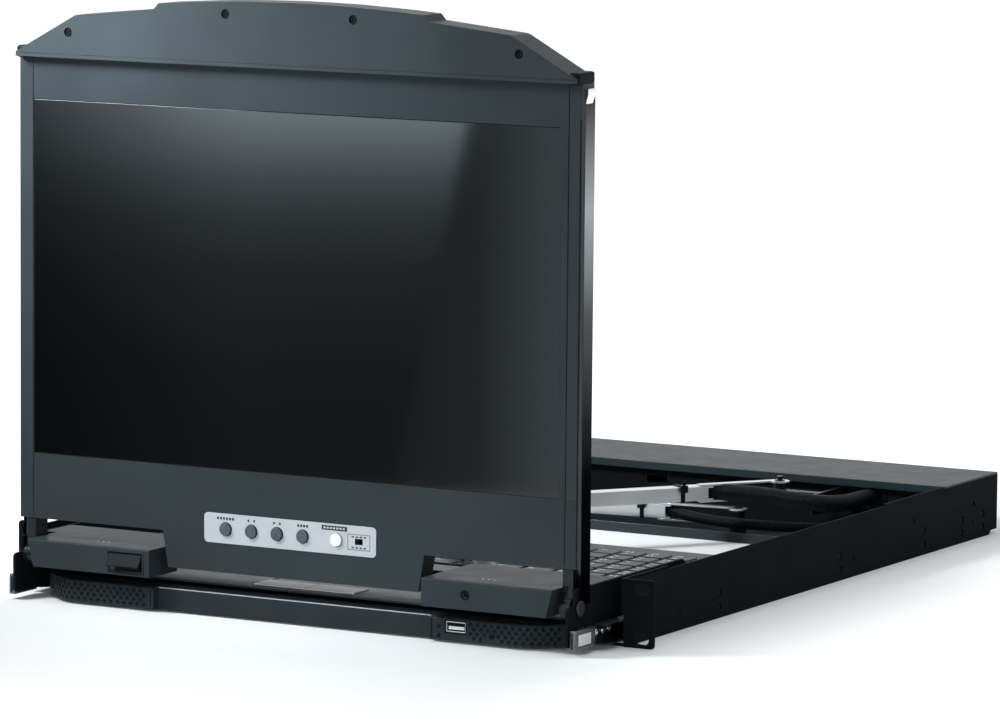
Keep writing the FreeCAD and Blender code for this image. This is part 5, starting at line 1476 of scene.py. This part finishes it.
def vector_math(operation, first, second=(0, 0, 0)):
    """One Vector Math node; the second input takes three plain numbers."""
    node = nodes.new("ShaderNodeVectorMath")
    node.operation = operation
    links.new(first, node.inputs[0])
    node.inputs[1].default_value = second
    return node.outputs["Value" if operation == "LENGTH" else "Vector"]


from_middle = vector_math("ABSOLUTE", vector_math("SUBTRACT", place, BODY_MIDDLE))
outside = vector_math("MAXIMUM", vector_math("SUBTRACT", from_middle, BODY_HALF))
from_body = vector_math("LENGTH", vector_math("MULTIPLY", outside, SIDE_STRETCH))
print("drawer reaches", BODY_HALF[:2], "m from", BODY_MIDDLE[:2])

# %% Lift the floor with that distance, with a painted shade close to the drawer
# A lift of zero close to the drawer keeps the floor grey there: a painted shade round its foot.
FLOOR_LIFT_AND_SHADE = [(0.0, 0.0), (0.12, 0.12), (0.34, 0.58), (1.0, 0.76)]
lift_and_painted_shade = add_ramp(nodes, links, from_body,
                       [(metres, (value, value, value, 1)) for metres, value in FLOOR_LIFT_AND_SHADE])
lift = nodes.new("ShaderNodeMath")
lift.operation = "MULTIPLY"
links.new(lift_and_painted_shade, lift.inputs[0])
links.new(seen_directly(nodes, links), lift.inputs[1])
links.new(lift.outputs["Value"], shader.inputs["Emission Strength"])
print("lift from", FLOOR_LIFT_AND_SHADE[0][1], "to", FLOOR_LIFT_AND_SHADE[-1][1])

# %% [markdown]
# ## World and lamps
# The world gives an even fill from all sides, weak enough to leave the shadows their depth, and is
# white where it is seen. The lamps are soft boxes: a small one near the panel's top left and a
# narrow one low in front, so that the front falls off to the right, a wide one in front and a very
# wide one overhead.

# %% World
FILL_LIGHT = 0.34
world = bpy.data.worlds.new("studio")
scene.world = world
world.use_nodes = True
nodes, links = world.node_tree.nodes, world.node_tree.links
background = nodes["Background"]
background.inputs["Color"].default_value = (1, 1, 1, 1)
links.new(add_range(nodes, links, seen_directly(nodes, links), FILL_LIGHT, 1.0),
          background.inputs["Strength"])
print("fill", FILL_LIGHT)

# %% Lamps
COOL_WHITE = (0.90, 0.97, 1.0)


def softbox(name, place, target, size, power, spread=180):
    """A rectangular lamp that looks at its target; the spread narrows its beam."""
    lamp = bpy.data.lights.new(name, "AREA")
    lamp.shape = "RECTANGLE"
    lamp.size, lamp.size_y = size
    lamp.energy = power
    lamp.spread = math.radians(spread)
    lamp.color = COOL_WHITE
    item = bpy.data.objects.new(name, lamp)
    scene.collection.objects.link(item)
    item.location = place
    item.rotation_euler = (Vector(target) - Vector(place)).to_track_quat("-Z", "Y").to_euler()
    item.visible_camera = False
    return item


softbox("near_softbox", (-0.44, -0.36, 0.62), (-0.19, -0.04, 0.37), (0.20, 0.20), 2.6, spread=75)
softbox("low_softbox", (0.35, -1.25, 0.30), (0.08, -0.05, 0.02), (0.25, 0.25), 0.16, spread=30)
softbox("front_softbox", (-0.9, -2.6, 0.5), (0, 0, 0.1), (1.2, 0.6), 4.5)
softbox("top_softbox", (0.3, 0.6, 2.8), (0, 0.1, 0.1), (2.4, 2.4), 34.0)
print(len(bpy.data.lights), "lamps")

# %% [markdown]
# ## Reflection card
# The screen mirrors a point low on the left, where there is only floor. A studio hangs a card
# there to shape that reflection. Its place is found by mirroring the camera in the screen's plane.
# It could carry an image texture, but a few ramps do as well: bright at the top, dark at the foot,
# with a slanted edge. Only reflections see it.

# %% Place of the card
screen_plane = glass_low.y * MM
screen_middle = (glass_low + glass_high) / 2 * MM
screen_middle.y = screen_plane
mirrored_eye = Vector((CAMERA_PLACE.x, 2 * screen_plane - CAMERA_PLACE.y, CAMERA_PLACE.z))
outward = (screen_middle - mirrored_eye).normalized()
CARD_DISTANCE = 0.62
spread = 1 + CARD_DISTANCE / (screen_middle - mirrored_eye).length
card_width = 0.47 * spread * math.sqrt(1 - outward.x ** 2)
card_height = 0.42 * spread
bpy.ops.mesh.primitive_plane_add(size=1.0, location=screen_middle + outward * CARD_DISTANCE)
card = bpy.context.object
card.name = "screen_card"
card.scale = (card_width, card_height, 1)
card.rotation_euler = (-outward).to_track_quat("Z", "Y").to_euler()
print("card", tuple(card.location), card_width, card_height)

# %% Light of the card
card_light, nodes, links, shader, place = new_material("card_light")
nodes.remove(shader)
emission = nodes.new("ShaderNodeEmission")
emission.inputs["Color"].default_value = COOL_SHEEN
links.new(emission.outputs["Emission"], nodes["Material Output"].inputs["Surface"])
split = nodes.new("ShaderNodeSeparateXYZ")
links.new(place, split.inputs["Vector"])


def card_math(operation, first, second):
    """One Math node, fed by sockets or plain numbers."""
    node = nodes.new("ShaderNodeMath")
    node.operation = operation
    for socket, value in zip(node.inputs, (first, second)):
        if isinstance(value, (int, float)):
            socket.default_value = value
        else:
            links.new(value, socket)
    return node.outputs["Value"]


def grey_ramp(factor, stops):
    """A ramp through (position, grey) stops."""
    return add_ramp(nodes, links, factor,
                    [(position, (grey, grey, grey, 1)) for position, grey in stops])


# %% Left and right part of the card
LEFT_STRENGTH, RIGHT_STRENGTH = 4.8, 1.20
HEIGHT_STOPS = [(0.14, 0.34), (0.20, 0.03), (0.40, 0.041), (0.545, 0.083), (0.623, 0.155),
                (0.684, 0.315), (0.734, 0.59), (0.80, 1.0)]
SIDE_STOPS = [(0.08, 0.17), (0.18, 0.38), (0.26, 0.58), (0.34, 0.82), (0.42, 1.0)]
RIGHT_STOPS = [(0.66, 0.20), (0.80, 0.34), (0.92, 1.0)]
across = card_math("SUBTRACT", 0.5, split.outputs["X"])
upward = card_math("ADD", split.outputs["Y"], 0.5)
by_height = grey_ramp(upward, HEIGHT_STOPS)
by_side = grey_ramp(across, SIDE_STOPS)
left_part = card_math("MULTIPLY", card_math("MULTIPLY", by_height, by_side), LEFT_STRENGTH)
right_part = card_math("MULTIPLY", grey_ramp(across, RIGHT_STOPS), RIGHT_STRENGTH)
print(len(HEIGHT_STOPS), "tones upward and", len(SIDE_STOPS), "across")

# %% Slanted edge between the parts
SLANT, SLANT_FOOT, EDGE_SHARPNESS = 0.208, 0.611, 90.0
slant = card_math("ADD", card_math("MULTIPLY", upward, SLANT), SLANT_FOOT)
past_edge = card_math("MULTIPLY", card_math("SUBTRACT", across, slant), EDGE_SHARPNESS)
mix = nodes.new("ShaderNodeMix")
mix.clamp_factor = True
links.new(past_edge, mix.inputs["Factor"])
links.new(left_part, mix.inputs["A"])
links.new(right_part, mix.inputs["B"])
links.new(mix.outputs["Result"], emission.inputs["Strength"])
card.data.materials.append(card_light)
card.visible_camera = False
card.visible_diffuse = False
card.visible_shadow = False
card.visible_transmission = False
print("edge at", SLANT_FOOT, "of the width")
